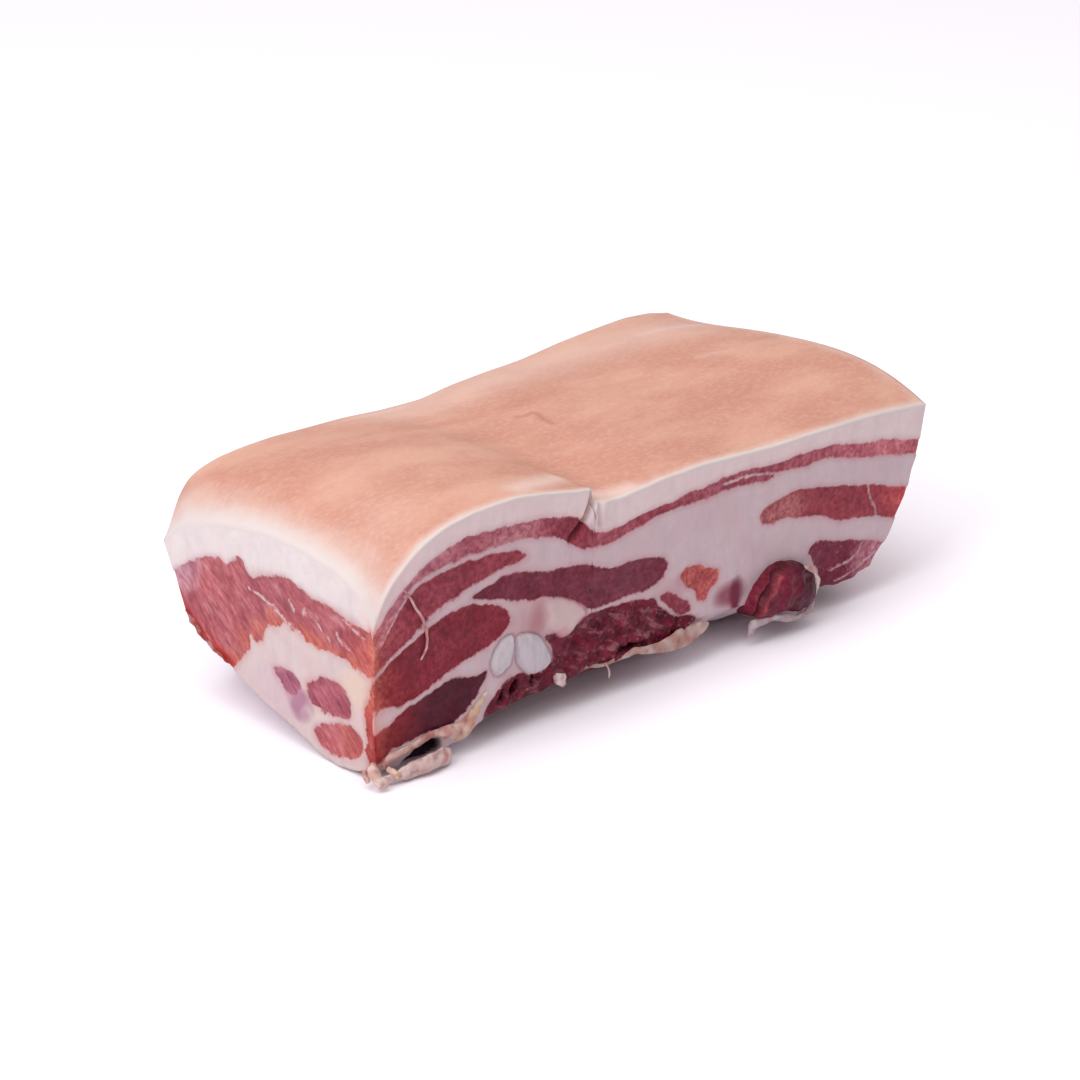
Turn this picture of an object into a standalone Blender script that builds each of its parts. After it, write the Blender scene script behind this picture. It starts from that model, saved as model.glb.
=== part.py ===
# A slab of raw pork belly that lies with its rind up.
#
# The rind and the back fat are one piece. Under them lies a sheet of lean, thin along
# most of the slab and thick at the left end. Below that sheet a body of soft fat holds
# the muscles of the belly wall and the tips of two ribs. They run from the cut long
# face, at -Y, through to the far side. Three small muscles show in the cut short face,
# at -X, and one lump of lean hangs off the lower edge of the long face.
#
# Metres, +Z up. X runs along the slab and Y across it. The origin is on the table,
# below the middle of the slab.

import math

import bmesh
import bpy
import numpy as np
from mathutils import Matrix, Vector

# Overall sizes.
LENGTH = 0.250
LEFT = -LENGTH / 2
RIGHT = LENGTH / 2
NEAR = -0.062
FAR_LEFT = 0.046
FAR_RIGHT = 0.068
GAP = 0.0003
MM = 0.001

# The top surface: heights of its near and far edges along X, its crown across Y, which
# leans to the near side at the right end, and how far the corner between the two cut
# faces droops. Pairs are millimetres.
NEAR_TOP = [(-125, 63), (-121, 67), (-116, 70), (-111, 72.5), (-105, 76), (-95, 79.4),
            (-85, 80.8), (-75, 81.3), (-65, 81), (-54, 79), (-44, 76.5), (-35, 73.5),
            (-31, 71.5), (-22, 69.3), (-1, 70.9), (15, 70.9), (52, 68.7), (101, 67.5),
            (125, 65.2)]
FAR_TOP = [(-125, 53), (-119, 62.5), (-114, 67.5), (-108, 70.2), (-100, 72), (-90, 72.6),
           (-76, 72.4), (-63, 71.4), (-44, 70.2), (-25, 68), (-6, 66.8), (9, 68), (28, 68.4),
           (45, 68.4), (66, 69.5), (101, 70), (115, 68.5), (125, 66)]
CROWN = [(-125, 10), (-100, 5.5), (-30, 4), (60, 5), (100, 7), (125, 8.5)]
CORNER_DROP = 0.010
CORNER_REACH = 0.006

# The knife nick in the near edge of the rind: the left lip stands up, the right dips.
NICK_X = -0.033
NICK_LIP = 0.003
NICK_DIP = 0.002
NICK_WIDTH = 0.008
NICK_REACH = 0.015
NICK_FLOOR = 0.0605
NICK_LEFT = -0.001
NICK_RIGHT = 0.004
NICK_TIP = 0.0016
NICK_DEPTH = 0.009

# The underside: its heights along the near and the left edge, and how far in from each
# edge it comes down to the table.
NEAR_UNDER = [(-125, 4.4), (-101, 3.1), (-87, 5.5), (-83, 8.7), (-70, 11.2), (-58, 12),
              (-28, 13), (-6, 12.5), (3, 12), (12, 16.5), (35, 15.5), (60, 13), (74, 11.5),
              (88, 9.3), (101, 11.7), (125, 16)]
LEFT_UNDER = [(-62, 1), (-46, 0.5), (-38, 0.7), (-31, 3), (-23, 5.8), (-4, 10.5), (10, 15.3),
              (22.6, 20.6), (35, 27), (39, 32.4), (42.6, 39), (46, 48)]
FAR_UNDER = 0.008
RIGHT_UNDER = 0.009
NEAR_TUCK = 0.032
LEFT_TUCK = 0.038
FAR_TUCK = 0.020
RIGHT_TUCK = 0.028

# The right end leans in towards the table, and so does the far side.
RIGHT_LEAN = 0.010
RIGHT_ROUND = 0.0155
FAR_ROUND = 0.010

# Thickness of the rind and back fat, and of the lean sheet below: along the near face,
# and along the short face, where the sheet takes in the whole lower far corner.
CAP_LONG = [(-125, 5), (-115, 6.5), (-105, 7.3), (-85, 7.2), (-60, 8), (-44, 8.6), (-35, 11),
            (-29, 12), (-22, 9.8), (10, 9.4), (33, 7.6), (77, 6.4), (90, 7.4), (100, 9),
            (112, 11), (125, 12.8)]
CAP_SHORT = [(-62, 5), (-50, 8.5), (-40, 10.5), (-25, 12), (15, 11), (28, 11.5), (42, 15)]
SHEET_LONG = [(-125, 15), (-118, 16), (-110, 18), (-103, 19), (-95, 18.5), (-85, 17), (-75, 14),
              (-65, 12), (-61, 9.5), (-56, 6.2), (-44, 7.2), (-40, 8.5), (-34, 5), (-17, 6),
              (-9, 5.4), (1, 2.8), (22, 3.4), (44, 5), (66, 3), (88, 5.3), (125, 5.2)]
SHEET_SHORT = [(-62, 15), (-18, 16), (-8, 17.6), (-5, 23), (1, 24), (6, 36), (10, 40), (46, 60)]
SHORT_FACE_REACH = 0.035

# Muscles and rib tips of the long face, as outlines on that face.
LONG_FACE = {
    "main_lean": [(-133, 28), (-127, 34), (-115, 42), (-105, 46.5), (-95, 49.5), (-87, 50),
                  (-79.5, 47.8), (-72, 45), (-69, 40.5), (-71, 37), (-76, 35), (-85, 33),
                  (-92, 30), (-101, 26.7), (-110, 24.2), (-116, 23.5), (-123, 25), (-133, 25)],
    "lower_lean": [(-133, 14), (-122, 17.5), (-113, 21.5), (-105, 23.7), (-97, 25.4), (-92, 27),
                   (-83, 25), (-80, 23), (-80, 20), (-84, 17.5), (-88, 14.6), (-94, 11.1),
                   (-103, 12), (-111, 11.2), (-119, 9.8), (-124, 8), (-133, 8)],
    "dark_lean": [(-86, 52.4), (-75, 55.6), (-70, 56.7), (-60, 54.8), (-52, 52.7), (-44, 52.5),
                  (-33, 49.4), (-28, 46.8), (-22, 45.6), (-14, 45.6), (-2, 43), (2, 39),
                  (-2, 34.5), (-9, 32.8), (-28, 33.5), (-34, 33.6), (-40, 38), (-49, 42),
                  (-57, 43.8), (-65, 45.2), (-70, 47.2), (-79, 50.4)],
    "ragged_lean": [(-83, 7), (-79, 14.5), (-74, 21), (-63, 18.6), (-54, 16.4), (-51, 20),
                    (-49, 27.5), (-42, 26.2), (-37, 29.2), (-33, 31), (-17, 29.4), (-6, 27),
                    (0, 25.4), (10, 22.5), (11.5, 16.6), (8, 12), (-4, 10), (-12, 6), (-76, 4)],
    "flank_band": [(43, 44.5), (46, 47), (53, 48.9), (60, 50.2), (72, 48.1), (83, 45.3),
                   (95, 43.4), (106, 40.2), (118, 38), (133, 35), (133, 21), (118, 25),
                   (101, 29), (90, 31.8), (80, 33.1), (76, 36), (66, 38.5), (55, 41.4),
                   (49, 40.4), (44, 41.4)],
    "flank_lean": [(67.5, 26.5), (72.5, 28.4), (84, 25), (93, 22.4), (103, 20), (116, 14),
                   (116, 3), (77, 3), (74.5, 11), (74, 17.5), (71, 22.8)],
    "small_lean": [(7, 33.4), (11, 36.2), (17, 33.7), (23.5, 31.9), (24.4, 27.5), (19.6, 26.2),
                   (16.5, 22), (13.8, 24.6), (10, 28.3)],
    "rib_tip_left": [(-67, 33), (-71, 33.8), (-75, 30.7), (-77, 26.4), (-75, 23.3),
                     (-71, 23.6), (-67.5, 28)],
    "rib_tip_right": [(-63, 33), (-57, 31.5), (-53, 26.4), (-52.2, 21), (-55.5, 18.6),
                      (-62, 20.9), (-65, 25.4), (-65, 30)],
}
# The fat behind the short face ends these two muscles along this wall, seen from above.
STOPS_AT_WALL = ("main_lean", "lower_lean")
WALL_PLAN = [(-135, -60), (-104, -57.5), (-98, -50), (-98, 90), (-135, 90)]
WALL_FOOT = -0.020
WALL_TOP = 0.060
BEND_STEPS = 5
SWAY = 0.009

# Muscles of the short face, as outlines on that face, and how deep they go.
SHORT_FACE = {
    "end_lean_middle": [(-29, 26), (-36, 29), (-41.6, 30), (-48, 26.8), (-49, 21.6),
                        (-46.6, 19), (-38.5, 18.8), (-30.5, 19.7), (-28, 21.8)],
    "end_lean_low": [(-35.6, 12.6), (-43.8, 15.5), (-51.7, 14), (-55.5, 10.2), (-55, 5),
                     (-46, 4.2), (-38, 5.4), (-34, 7.4)],
    "end_lean_small": [(-12, 22.6), (-17.8, 24.8), (-23.4, 23), (-23.4, 19.6), (-19.5, 18.6),
                       (-14, 19.9)],
}
SHORT_FACE_DEPTH = 0.017

# The lump of lean that hangs off the lower edge of the long face.
LUMP = [(38, 14.3), (41, 20), (45, 23.5), (51.5, 24.5), (60, 23.3), (64, 20), (67.5, 15.5),
        (67.8, 10.5), (65, 7), (58, 8.2), (46, 10.5), (40, 9.5)]
LUMP_ROUNDING = 0.003
LUMP_FRONT = -0.0685
LUMP_BACK = -0.042

# Flaps of membrane fused to the lower edges: centre and half sizes.
FLAPS = [
    ((-0.1100, -0.0610, 0.0030), (0.0135, 0.0070, 0.0030)),
    ((-0.1225, -0.0595, 0.0040), (0.0025, 0.0050, 0.0040)),
    ((0.0070, -0.0580, 0.0110), (0.0130, 0.0060, 0.0042)),
]

# Colour and roughness of each node.
FINISHES = {
    "rind_and_back_fat": ((0.84, 0.62, 0.54), 0.45),
    "upper_lean": ((0.60, 0.32, 0.35), 0.40),
    "belly_fat": ((0.80, 0.70, 0.70), 0.45),
    "main_lean": ((0.48, 0.18, 0.24), 0.38),
    "lower_lean": ((0.30, 0.10, 0.16), 0.38),
    "dark_lean": ((0.42, 0.19, 0.25), 0.38),
    "ragged_lean": ((0.35, 0.11, 0.18), 0.38),
    "flank_band": ((0.57, 0.25, 0.30), 0.40),
    "flank_lean": ((0.47, 0.19, 0.27), 0.40),
    "small_lean": ((0.64, 0.29, 0.31), 0.40),
    "rib_tip_left": ((0.69, 0.65, 0.68), 0.30),
    "rib_tip_right": ((0.69, 0.65, 0.68), 0.30),
    "end_lean_middle": ((0.62, 0.36, 0.42), 0.40),
    "end_lean_low": ((0.78, 0.47, 0.49), 0.40),
    "end_lean_small": ((0.60, 0.34, 0.40), 0.40),
    "hanging_lump": ((0.38, 0.15, 0.21), 0.38),
}

# Cells of the meshes, the sides and rings of a flap, and how close two points are one.
SLAB_CELLS = (32, 15, 6)
LAYER_CELLS = (34, 14, 1)
FLAP_CELLS = (12, 6)
SAME_POINT = 1e-6

# How far the cutters reach past the slab, and the least share of a sharp corner's inset.
PAST_SIDES = 0.008
PAST_NEAR = 0.006
PAST_FAR = 0.004
PAST_LEFT = 0.005
ABOVE = 0.120
BELOW = -0.080
SHARPEST = 0.5


# The form of the slab.

def along(table, at):
    """The value of a table of millimetre pairs at one place, in metres."""
    places, values = zip(*table)
    return float(np.interp(at / MM, places, values)) * MM


def far_edge(x):
    """Y of the far edge of the rind."""
    share = (x - LEFT) / LENGTH
    return FAR_LEFT + (FAR_RIGHT - FAR_LEFT) * share


def fall(distance, reach):
    """1 at an edge, 0 from the reach on."""
    return max(0.0, 1.0 - max(0.0, distance) / reach) ** 2


def nick_height(x, y):
    """How far the rind stands up or dips beside the nick."""
    side = NICK_LIP if x < NICK_X else -NICK_DIP
    return side * math.exp(-abs(x - NICK_X) / NICK_WIDTH) * math.exp(-(y - NEAR) / NICK_REACH)


def top_height(x, y):
    across = (y - NEAR) / (far_edge(x) - NEAR)
    height = along(NEAR_TOP, x) * (1 - across) + along(FAR_TOP, x) * across
    even = 4 * across * (1 - across)
    lopsided = 27 / 4 * across * (1 - across) ** 2
    height += along(CROWN, x) * (even + (lopsided - even) * min(max(x / RIGHT, 0), 1))
    height -= CORNER_DROP * math.exp(-math.hypot(x - LEFT, y - NEAR) / CORNER_REACH)
    return height + nick_height(x, max(y, NEAR))


def under_height(x, y):
    return max(along(NEAR_UNDER, x) * fall(y - NEAR, NEAR_TUCK),
               along(LEFT_UNDER, y) * fall(x - LEFT, LEFT_TUCK),
               FAR_UNDER * fall(far_edge(x) - FAR_ROUND - y, FAR_TUCK),
               RIGHT_UNDER * fall(RIGHT - RIGHT_LEAN - RIGHT_ROUND - x, RIGHT_TUCK))


def slab_point(u, v, w):
    """Where a point of the unit cube lies on the slab."""
    low = 1 - w
    right = RIGHT - RIGHT_LEAN * low - RIGHT_ROUND * low ** 3.5
    x = LEFT + u * (right - LEFT)
    y = NEAR + v * (far_edge(x) - FAR_ROUND * low ** 3 - NEAR)
    under = under_height(x, y)
    return Vector((x, y, under + w * (top_height(x, y) - under)))


def cap_floor(x, y):
    """Where the back fat meets the sheet of lean."""
    thick = along(CAP_LONG, x)
    thick += (along(CAP_SHORT, y) - along(CAP_SHORT, NEAR)) * fall(x - LEFT, SHORT_FACE_REACH)
    return top_height(x, y) - thick


def sheet_floor(x, y):
    """Where the sheet of lean meets the belly fat."""
    thick = along(SHEET_LONG, x)
    thick += (along(SHEET_SHORT, y) - along(SHEET_SHORT, NEAR)) * fall(x - LEFT, SHORT_FACE_REACH)
    return cap_floor(x, y) - thick


def follow_arch(point):
    """Bends a muscle that was drawn on the near face, so that it follows the slab."""
    x, y, z = point
    across = (y - NEAR) / (FAR_RIGHT - NEAR)
    x += SWAY * math.sin(math.pi * across) * fall(abs(x), RIGHT)
    return Vector((x, y, z * top_height(x, y) / top_height(x, NEAR)))


# Mesh helpers.

def new_object(name, mesh, collection):
    thing = bpy.data.objects.new(name, mesh)
    collection.objects.link(thing)
    return thing


def mesh_from(bm, name):
    bmesh.ops.triangulate(bm, faces=bm.faces[:])
    bmesh.ops.recalc_face_normals(bm, faces=bm.faces[:])
    if bm.calc_volume(signed=True) < 0:
        bmesh.ops.reverse_faces(bm, faces=bm.faces[:])
    mesh = bpy.data.meshes.new(name)
    bm.to_mesh(mesh)
    bm.free()
    return mesh


def cut_across(bm, axis, places):
    """Adds a loop of edges at each place along an axis."""
    normal = Vector((0, 0, 0))
    normal[axis] = 1
    for place in places:
        geometry = bm.verts[:] + bm.edges[:] + bm.faces[:]
        bmesh.ops.bisect_plane(bm, geom=geometry, plane_co=normal * place, plane_no=normal)


def cell_cube(cells):
    """A cube from 0 to 1 with its faces divided into cells."""
    bm = bmesh.new()
    bmesh.ops.create_cube(bm, size=1, matrix=Matrix.Translation((0.5, 0.5, 0.5)))
    for axis, count in enumerate(cells):
        cut_across(bm, axis, [step / count for step in range(1, count)])
    return bm


def boolean(thing, tool, operation):
    """Joins, cuts or trims an object by another one, for good."""
    modifier = thing.modifiers.new(operation.lower(), "BOOLEAN")
    modifier.operation = operation
    modifier.object = tool
    modifier.solver = "EXACT"
    graph = bpy.context.evaluated_depsgraph_get()
    mesh = bpy.data.meshes.new_from_object(thing.evaluated_get(graph))
    thing.modifiers.clear()
    bm = bmesh.new()
    bm.from_mesh(mesh)
    bmesh.ops.remove_doubles(bm, verts=bm.verts[:], dist=SAME_POINT)
    bmesh.ops.dissolve_degenerate(bm, edges=bm.edges[:], dist=SAME_POINT)
    bmesh.ops.triangulate(bm, faces=bm.faces[:])
    bm.to_mesh(mesh)
    bm.free()
    thing.data = mesh


def keep_largest(thing):
    """Drops the loose scraps of a cut object."""
    bm = bmesh.new()
    bm.from_mesh(thing.data)
    pieces = []
    left = set(bm.verts)
    while left:
        piece = {left.pop()}
        edge = list(piece)
        while edge:
            vertex = edge.pop()
            for link in vertex.link_edges:
                other = link.other_vert(vertex)
                if other not in piece:
                    piece.add(other)
                    edge.append(other)
        left -= piece
        pieces.append(piece)
    largest = max(pieces, key=len)
    bmesh.ops.delete(bm, geom=[v for v in bm.verts if v not in largest], context="VERTS")
    bm.to_mesh(thing.data)
    bm.free()


def inset(outline, distance):
    """An outline, in metres, pulled in by a distance."""
    points = [Vector(p) * MM for p in outline]
    area = sum(a.x * b.y - b.x * a.y for a, b in zip(points, points[1:] + points[:1]))
    turn = 1 if area > 0 else -1
    inner = []
    for index, point in enumerate(points):
        before = (point - points[index - 1]).normalized()
        after = (points[(index + 1) % len(points)] - point).normalized()
        inward = Vector((-before.y - after.y, before.x + after.x)) * turn
        reach = distance / max(SHARPEST, inward.length / 2)
        inner.append(point + inward.normalized() * reach)
    return inner


def extruded(name, points, start, end, place, rounding=0.0):
    """A flat outline as a solid between two depths, turned and placed by a function."""
    curve = bpy.data.curves.new(name, "CURVE")
    curve.dimensions = "2D"
    curve.fill_mode = "BOTH"
    curve.extrude = (end - start) / 2 - rounding
    curve.bevel_depth = rounding
    curve.bevel_resolution = 1
    spline = curve.splines.new("POLY")
    spline.points.add(len(points) - 1)
    for target, point in zip(spline.points, points):
        target.co = (point.x, point.y, 0, 1)
    spline.use_cyclic_u = True
    drawn = new_object(name, curve, cutters)
    graph = bpy.context.evaluated_depsgraph_get()
    mesh = bpy.data.meshes.new_from_object(drawn.evaluated_get(graph))
    bpy.data.objects.remove(drawn)
    bm = bmesh.new()
    bm.from_mesh(mesh)
    bmesh.ops.remove_doubles(bm, verts=bm.verts[:], dist=SAME_POINT)
    for vertex in bm.verts:
        depth = vertex.co.z + (start + end) / 2
        vertex.co = place(vertex.co.x, vertex.co.y, depth)
    return bm


# The tools that share the slab out among its nodes.

def slab_solid():
    bm = cell_cube(SLAB_CELLS)
    for vertex in bm.verts:
        vertex.co = slab_point(*vertex.co)
    slab = new_object("slab", mesh_from(bm, "slab"), cutters)
    for centre, half in FLAPS:
        bm = bmesh.new()
        shape = Matrix.LocRotScale(Vector(centre), None, Vector(half))
        sides, rings = FLAP_CELLS
        bmesh.ops.create_uvsphere(bm, u_segments=sides, v_segments=rings, radius=1, matrix=shape)
        flap = new_object("flap", mesh_from(bm, "flap"), cutters)
        boolean(slab, flap, "UNION")
    return slab


def layer(name, upper, lower):
    """A cutter between two surfaces that reach past the slab all round."""
    bm = cell_cube(LAYER_CELLS)
    for vertex in bm.verts:
        u, v, w = vertex.co
        x = LEFT - PAST_SIDES + u * (LENGTH + 2 * PAST_SIDES)
        y = NEAR - PAST_SIDES + v * (FAR_RIGHT + 2 * PAST_SIDES - NEAR)
        vertex.co = (x, y, upper(x, y) if w > 0.5 else lower(x, y))
    return new_object(name, mesh_from(bm, name), cutters)


def long_muscle(name, clearance):
    """A muscle of the long face, pulled in by a clearance."""
    start = NEAR - PAST_NEAR
    end = FAR_RIGHT + PAST_FAR
    bm = extruded(name, inset(LONG_FACE[name], clearance), start, end,
                  lambda a, b, depth: Vector((a, depth, b)))
    steps = [start + (end - start) * step / BEND_STEPS for step in range(1, BEND_STEPS)]
    cut_across(bm, 1, steps)
    for vertex in bm.verts:
        vertex.co = follow_arch(vertex.co)
    muscle = new_object(name, mesh_from(bm, name), cutters)
    if name in STOPS_AT_WALL:
        wall = extruded("wall", inset(WALL_PLAN, -clearance), WALL_FOOT, WALL_TOP,
                        lambda a, b, depth: Vector((a, b, depth)))
        boolean(muscle, new_object("wall", mesh_from(wall, "wall"), cutters), "DIFFERENCE")
    return muscle


def short_muscle(name, clearance):
    """A muscle of the short face, pulled in by a clearance."""
    bm = extruded(name, inset(SHORT_FACE[name], clearance), LEFT - PAST_LEFT,
                  LEFT + SHORT_FACE_DEPTH - clearance,
                  lambda a, b, depth: Vector((depth, a, b)))
    return new_object(name, mesh_from(bm, name), cutters)


def lump(clearance):
    """The hanging lump, or with a clearance below 0 the room that it takes up."""
    bm = extruded("lump", inset(LUMP, clearance), LUMP_FRONT + clearance,
                  LUMP_BACK - clearance, lambda a, b, depth: Vector((a, depth, b)),
                  rounding=LUMP_ROUNDING)
    return new_object("lump", mesh_from(bm, "lump"), cutters)


def nick_wedge():
    """The V that the knife left in the rind's near edge."""
    outline = [Vector((NICK_X + NICK_LEFT, ABOVE)), Vector((NICK_X + NICK_RIGHT, ABOVE)),
               Vector((NICK_X + NICK_TIP, NICK_FLOOR))]
    bm = extruded("nick", outline, NEAR - PAST_NEAR, NEAR + NICK_DEPTH,
                  lambda a, b, depth: Vector((a, depth, b)))
    return new_object("nick", mesh_from(bm, "nick"), cutters)


# The nodes.

def finish(name):
    colour, roughness = FINISHES[name]
    material = bpy.data.materials.new(name)
    material.use_nodes = True
    shader = material.node_tree.nodes["Principled BSDF"]
    linear = [((c + 0.055) / 1.055) ** 2.4 for c in colour]
    shader.inputs["Base Color"].default_value = (*linear, 1)
    shader.inputs["Roughness"].default_value = roughness
    shader.inputs["Metallic"].default_value = 0
    return material


def node(name, source):
    """A new piece of the belly that starts as a copy of a solid."""
    piece = new_object(name, source.data.copy(), belly)
    piece.data.materials.clear()
    piece.data.materials.append(finish(name))
    return piece


def build():
    slab = slab_solid()
    boolean(slab, nick_wedge(), "DIFFERENCE")

    cap = node("rind_and_back_fat", slab)
    boolean(cap, layer("above_cap_floor", lambda x, y: ABOVE, cap_floor), "INTERSECT")

    sheet = node("upper_lean", slab)
    boolean(sheet, layer("lean_sheet", lambda x, y: cap_floor(x, y) - GAP, sheet_floor),
            "INTERSECT")

    below = layer("below_sheet", lambda x, y: sheet_floor(x, y) - GAP, lambda x, y: BELOW)
    fat = node("belly_fat", slab)
    boolean(fat, below, "INTERSECT")
    lump_room = lump(-GAP)
    for names, muscle in ((LONG_FACE, long_muscle), (SHORT_FACE, short_muscle)):
        for name in names:
            piece = node(name, slab)
            boolean(piece, below, "INTERSECT")
            boolean(piece, muscle(name, GAP), "INTERSECT")
            boolean(piece, lump_room, "DIFFERENCE")
    for name in LONG_FACE:
        boolean(fat, long_muscle(name, 0), "DIFFERENCE")
    for name in SHORT_FACE:
        boolean(fat, short_muscle(name, 0), "DIFFERENCE")
    boolean(fat, lump_room, "DIFFERENCE")
    node("hanging_lump", lump(0))

    for piece in belly.objects:
        keep_largest(piece)


for old in list(bpy.data.objects):
    bpy.data.objects.remove(old)
belly = bpy.data.collections.new("pork belly slab")
cutters = bpy.data.collections.new("cutters")
for group in (belly, cutters):
    bpy.context.scene.collection.children.link(group)
build()
for tool in cutters.objects:
    tool.hide_render = True
    tool.display_type = "WIRE"
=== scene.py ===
import math

import bpy
import numpy as np
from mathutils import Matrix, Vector, noise


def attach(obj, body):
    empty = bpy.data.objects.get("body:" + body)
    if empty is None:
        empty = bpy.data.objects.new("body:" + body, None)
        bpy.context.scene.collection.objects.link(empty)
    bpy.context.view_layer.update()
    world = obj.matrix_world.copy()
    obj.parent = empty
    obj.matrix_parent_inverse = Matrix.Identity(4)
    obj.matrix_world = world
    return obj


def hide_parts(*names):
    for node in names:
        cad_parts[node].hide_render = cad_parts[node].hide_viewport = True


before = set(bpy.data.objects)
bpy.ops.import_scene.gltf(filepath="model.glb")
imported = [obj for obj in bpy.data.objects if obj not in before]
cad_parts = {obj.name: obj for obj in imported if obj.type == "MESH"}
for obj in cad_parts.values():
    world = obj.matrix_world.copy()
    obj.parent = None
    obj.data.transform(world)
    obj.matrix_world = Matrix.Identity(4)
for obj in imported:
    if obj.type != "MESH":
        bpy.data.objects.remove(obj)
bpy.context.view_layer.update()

# The rind and the back fat
# The skin of the pig's side, scraped clean, with the firm white fat under it. It is cut
# square with the rest of the slab at all four sides and lies as one layer over the lean.

MM = 0.001
LENGTH = 0.250
LEFT = -LENGTH / 2
RIGHT = LENGTH / 2
NEAR = -0.062
FAR_LEFT = 0.046
FAR_RIGHT = 0.068

# Heights of the rind along its near and far edges, and its crown, in millimetre pairs.
NEAR_TOP = [(-125, 63), (-121, 67), (-116, 70), (-111, 72.5), (-105, 76), (-95, 79.4),
            (-85, 80.8), (-75, 81.3), (-65, 81), (-54, 79), (-44, 76.5), (-35, 73.5),
            (-31, 71.5), (-22, 69.3), (-1, 70.9), (15, 70.9), (52, 68.7), (101, 67.5),
            (125, 65.2)]
FAR_TOP = [(-125, 53), (-119, 62.5), (-114, 67.5), (-108, 70.2), (-100, 72), (-90, 72.6),
           (-76, 72.4), (-63, 71.4), (-44, 70.2), (-25, 68), (-6, 66.8), (9, 68), (28, 68.4),
           (45, 68.4), (66, 69.5), (101, 70), (115, 68.5), (125, 66)]
CROWN = [(-125, 10), (-100, 5.5), (-30, 4), (60, 5), (100, 7), (125, 8.5)]

# The two corners of the rind over the short face droop.
CORNER_DROP = 0.010
CORNER_REACH = 0.006
BACK_CORNER_DROP = 0.004
BACK_CORNER_REACH = 0.007

# The knife nick in the near edge, whose left lip stands up.
NICK_X = -0.033
NICK_LIP = 0.003
NICK_DIP = 0.002
NICK_WIDTH = 0.008
NICK_REACH = 0.015

# The underside along the near and left edges, and how far in it comes down to the table.
NEAR_UNDER = [(-125, 4.4), (-101, 3.1), (-87, 5.5), (-83, 8.7), (-70, 11.2), (-58, 12),
              (-28, 13), (-6, 12.5), (3, 12), (12, 16.5), (35, 15.5), (60, 13), (74, 11.5),
              (88, 9.3), (101, 11.7), (125, 16)]
LEFT_UNDER = [(-62, 1), (-46, 0.5), (-38, 0.7), (-31, 3), (-23, 5.8), (-4, 10.5), (10, 15.3),
              (22.6, 20.6), (35, 27), (39, 32.4), (42.6, 39), (46, 48)]
FAR_UNDER = 0.008
RIGHT_UNDER = 0.009
NEAR_TUCK = 0.032
LEFT_TUCK = 0.038
FAR_TUCK = 0.020
RIGHT_TUCK = 0.028
RIGHT_LEAN = 0.010
RIGHT_ROUND = 0.0155
RIGHT_CURVE = 3.5
FAR_ROUND = 0.010
FAR_CURVE = 3

# How thick the rind and back fat are along the near face and along the short face.
CAP_LONG = [(-125, 5), (-115, 6.5), (-105, 7.3), (-85, 7.2), (-60, 8), (-44, 8.6), (-35, 11),
            (-29, 12), (-22, 9.8), (10, 9.4), (33, 7.6), (77, 6.4), (90, 7.4), (100, 9),
            (112, 11), (125, 12.8)]
CAP_SHORT = [(-62, 5), (-50, 8.5), (-40, 10.5), (-25, 12), (15, 11), (28, 11.5), (42, 15)]
SHORT_FACE_REACH = 0.035
SOFTEN = 2.5
TINY = 1e-5


def along(table, at):
    """A table of millimetre pairs read at some places, with its corners softened."""
    places, values = zip(*table)
    at = np.asarray(at) / MM
    before, here, after = (np.interp(at + step, places, values) for step in (-SOFTEN, 0, SOFTEN))
    return (before + 2 * here + after) / 4 * MM


def far_edge(x):
    return FAR_LEFT + (FAR_RIGHT - FAR_LEFT) * (x - LEFT) / LENGTH


def fall(distance, reach):
    """1 at an edge, 0 from the reach on."""
    return np.clip(1 - np.clip(distance, 0, None) / reach, 0, None) ** 2


def top_height(x, y):
    """The rind: its crown is in the middle at the left, and nearer the front at the right."""
    across = (y - NEAR) / (far_edge(x) - NEAR)
    height = along(NEAR_TOP, x) * (1 - across) + along(FAR_TOP, x) * across
    even = 4 * across * (1 - across)
    lopsided = 27 / 4 * across * (1 - across) ** 2
    height += along(CROWN, x) * (even + (lopsided - even) * np.clip(x / RIGHT, 0, 1))
    height -= CORNER_DROP * np.exp(-np.hypot(x - LEFT, y - NEAR) / CORNER_REACH)
    from_back = np.hypot(x - LEFT, y - far_edge(x)) / BACK_CORNER_REACH
    height -= BACK_CORNER_DROP * np.exp(-from_back ** 2)
    side = np.where(x < NICK_X, NICK_LIP, -NICK_DIP)
    near_nick = np.exp(-np.abs(x - NICK_X) / NICK_WIDTH)
    return height + side * near_nick * np.exp(-np.clip(y - NEAR, 0, None) / NICK_REACH)


def under_height(x, y):
    rises = (along(NEAR_UNDER, x) * fall(y - NEAR, NEAR_TUCK),
             along(LEFT_UNDER, y) * fall(x - LEFT, LEFT_TUCK),
             FAR_UNDER * fall(far_edge(x) - FAR_ROUND - y, FAR_TUCK),
             RIGHT_UNDER * fall(RIGHT - RIGHT_LEAN - RIGHT_ROUND - x, RIGHT_TUCK))
    return np.max(rises, axis=0)


def cap_floor(x, y):
    """Where the back fat meets the lean."""
    thick = along(CAP_LONG, x)
    thick = thick + (along(CAP_SHORT, y) - along(CAP_SHORT, NEAR)) * fall(x - LEFT, SHORT_FACE_REACH)
    return top_height(x, y) - thick


def slab_place(u, v, w):
    """Where points of the unit cube lie on the slab."""
    low = 1 - w
    right = RIGHT - RIGHT_LEAN * low - RIGHT_ROUND * low ** RIGHT_CURVE
    x = LEFT + u * (right - LEFT)
    y = NEAR + v * (far_edge(x) - FAR_ROUND * low ** FAR_CURVE - NEAR)
    under = under_height(x, y)
    return x, y, under + w * (top_height(x, y) - under)


SEAM_GUESS = 0.85
SEAM_ROUNDS = 6
SEAM_LIMITS = (0.06, 0.96)


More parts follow.
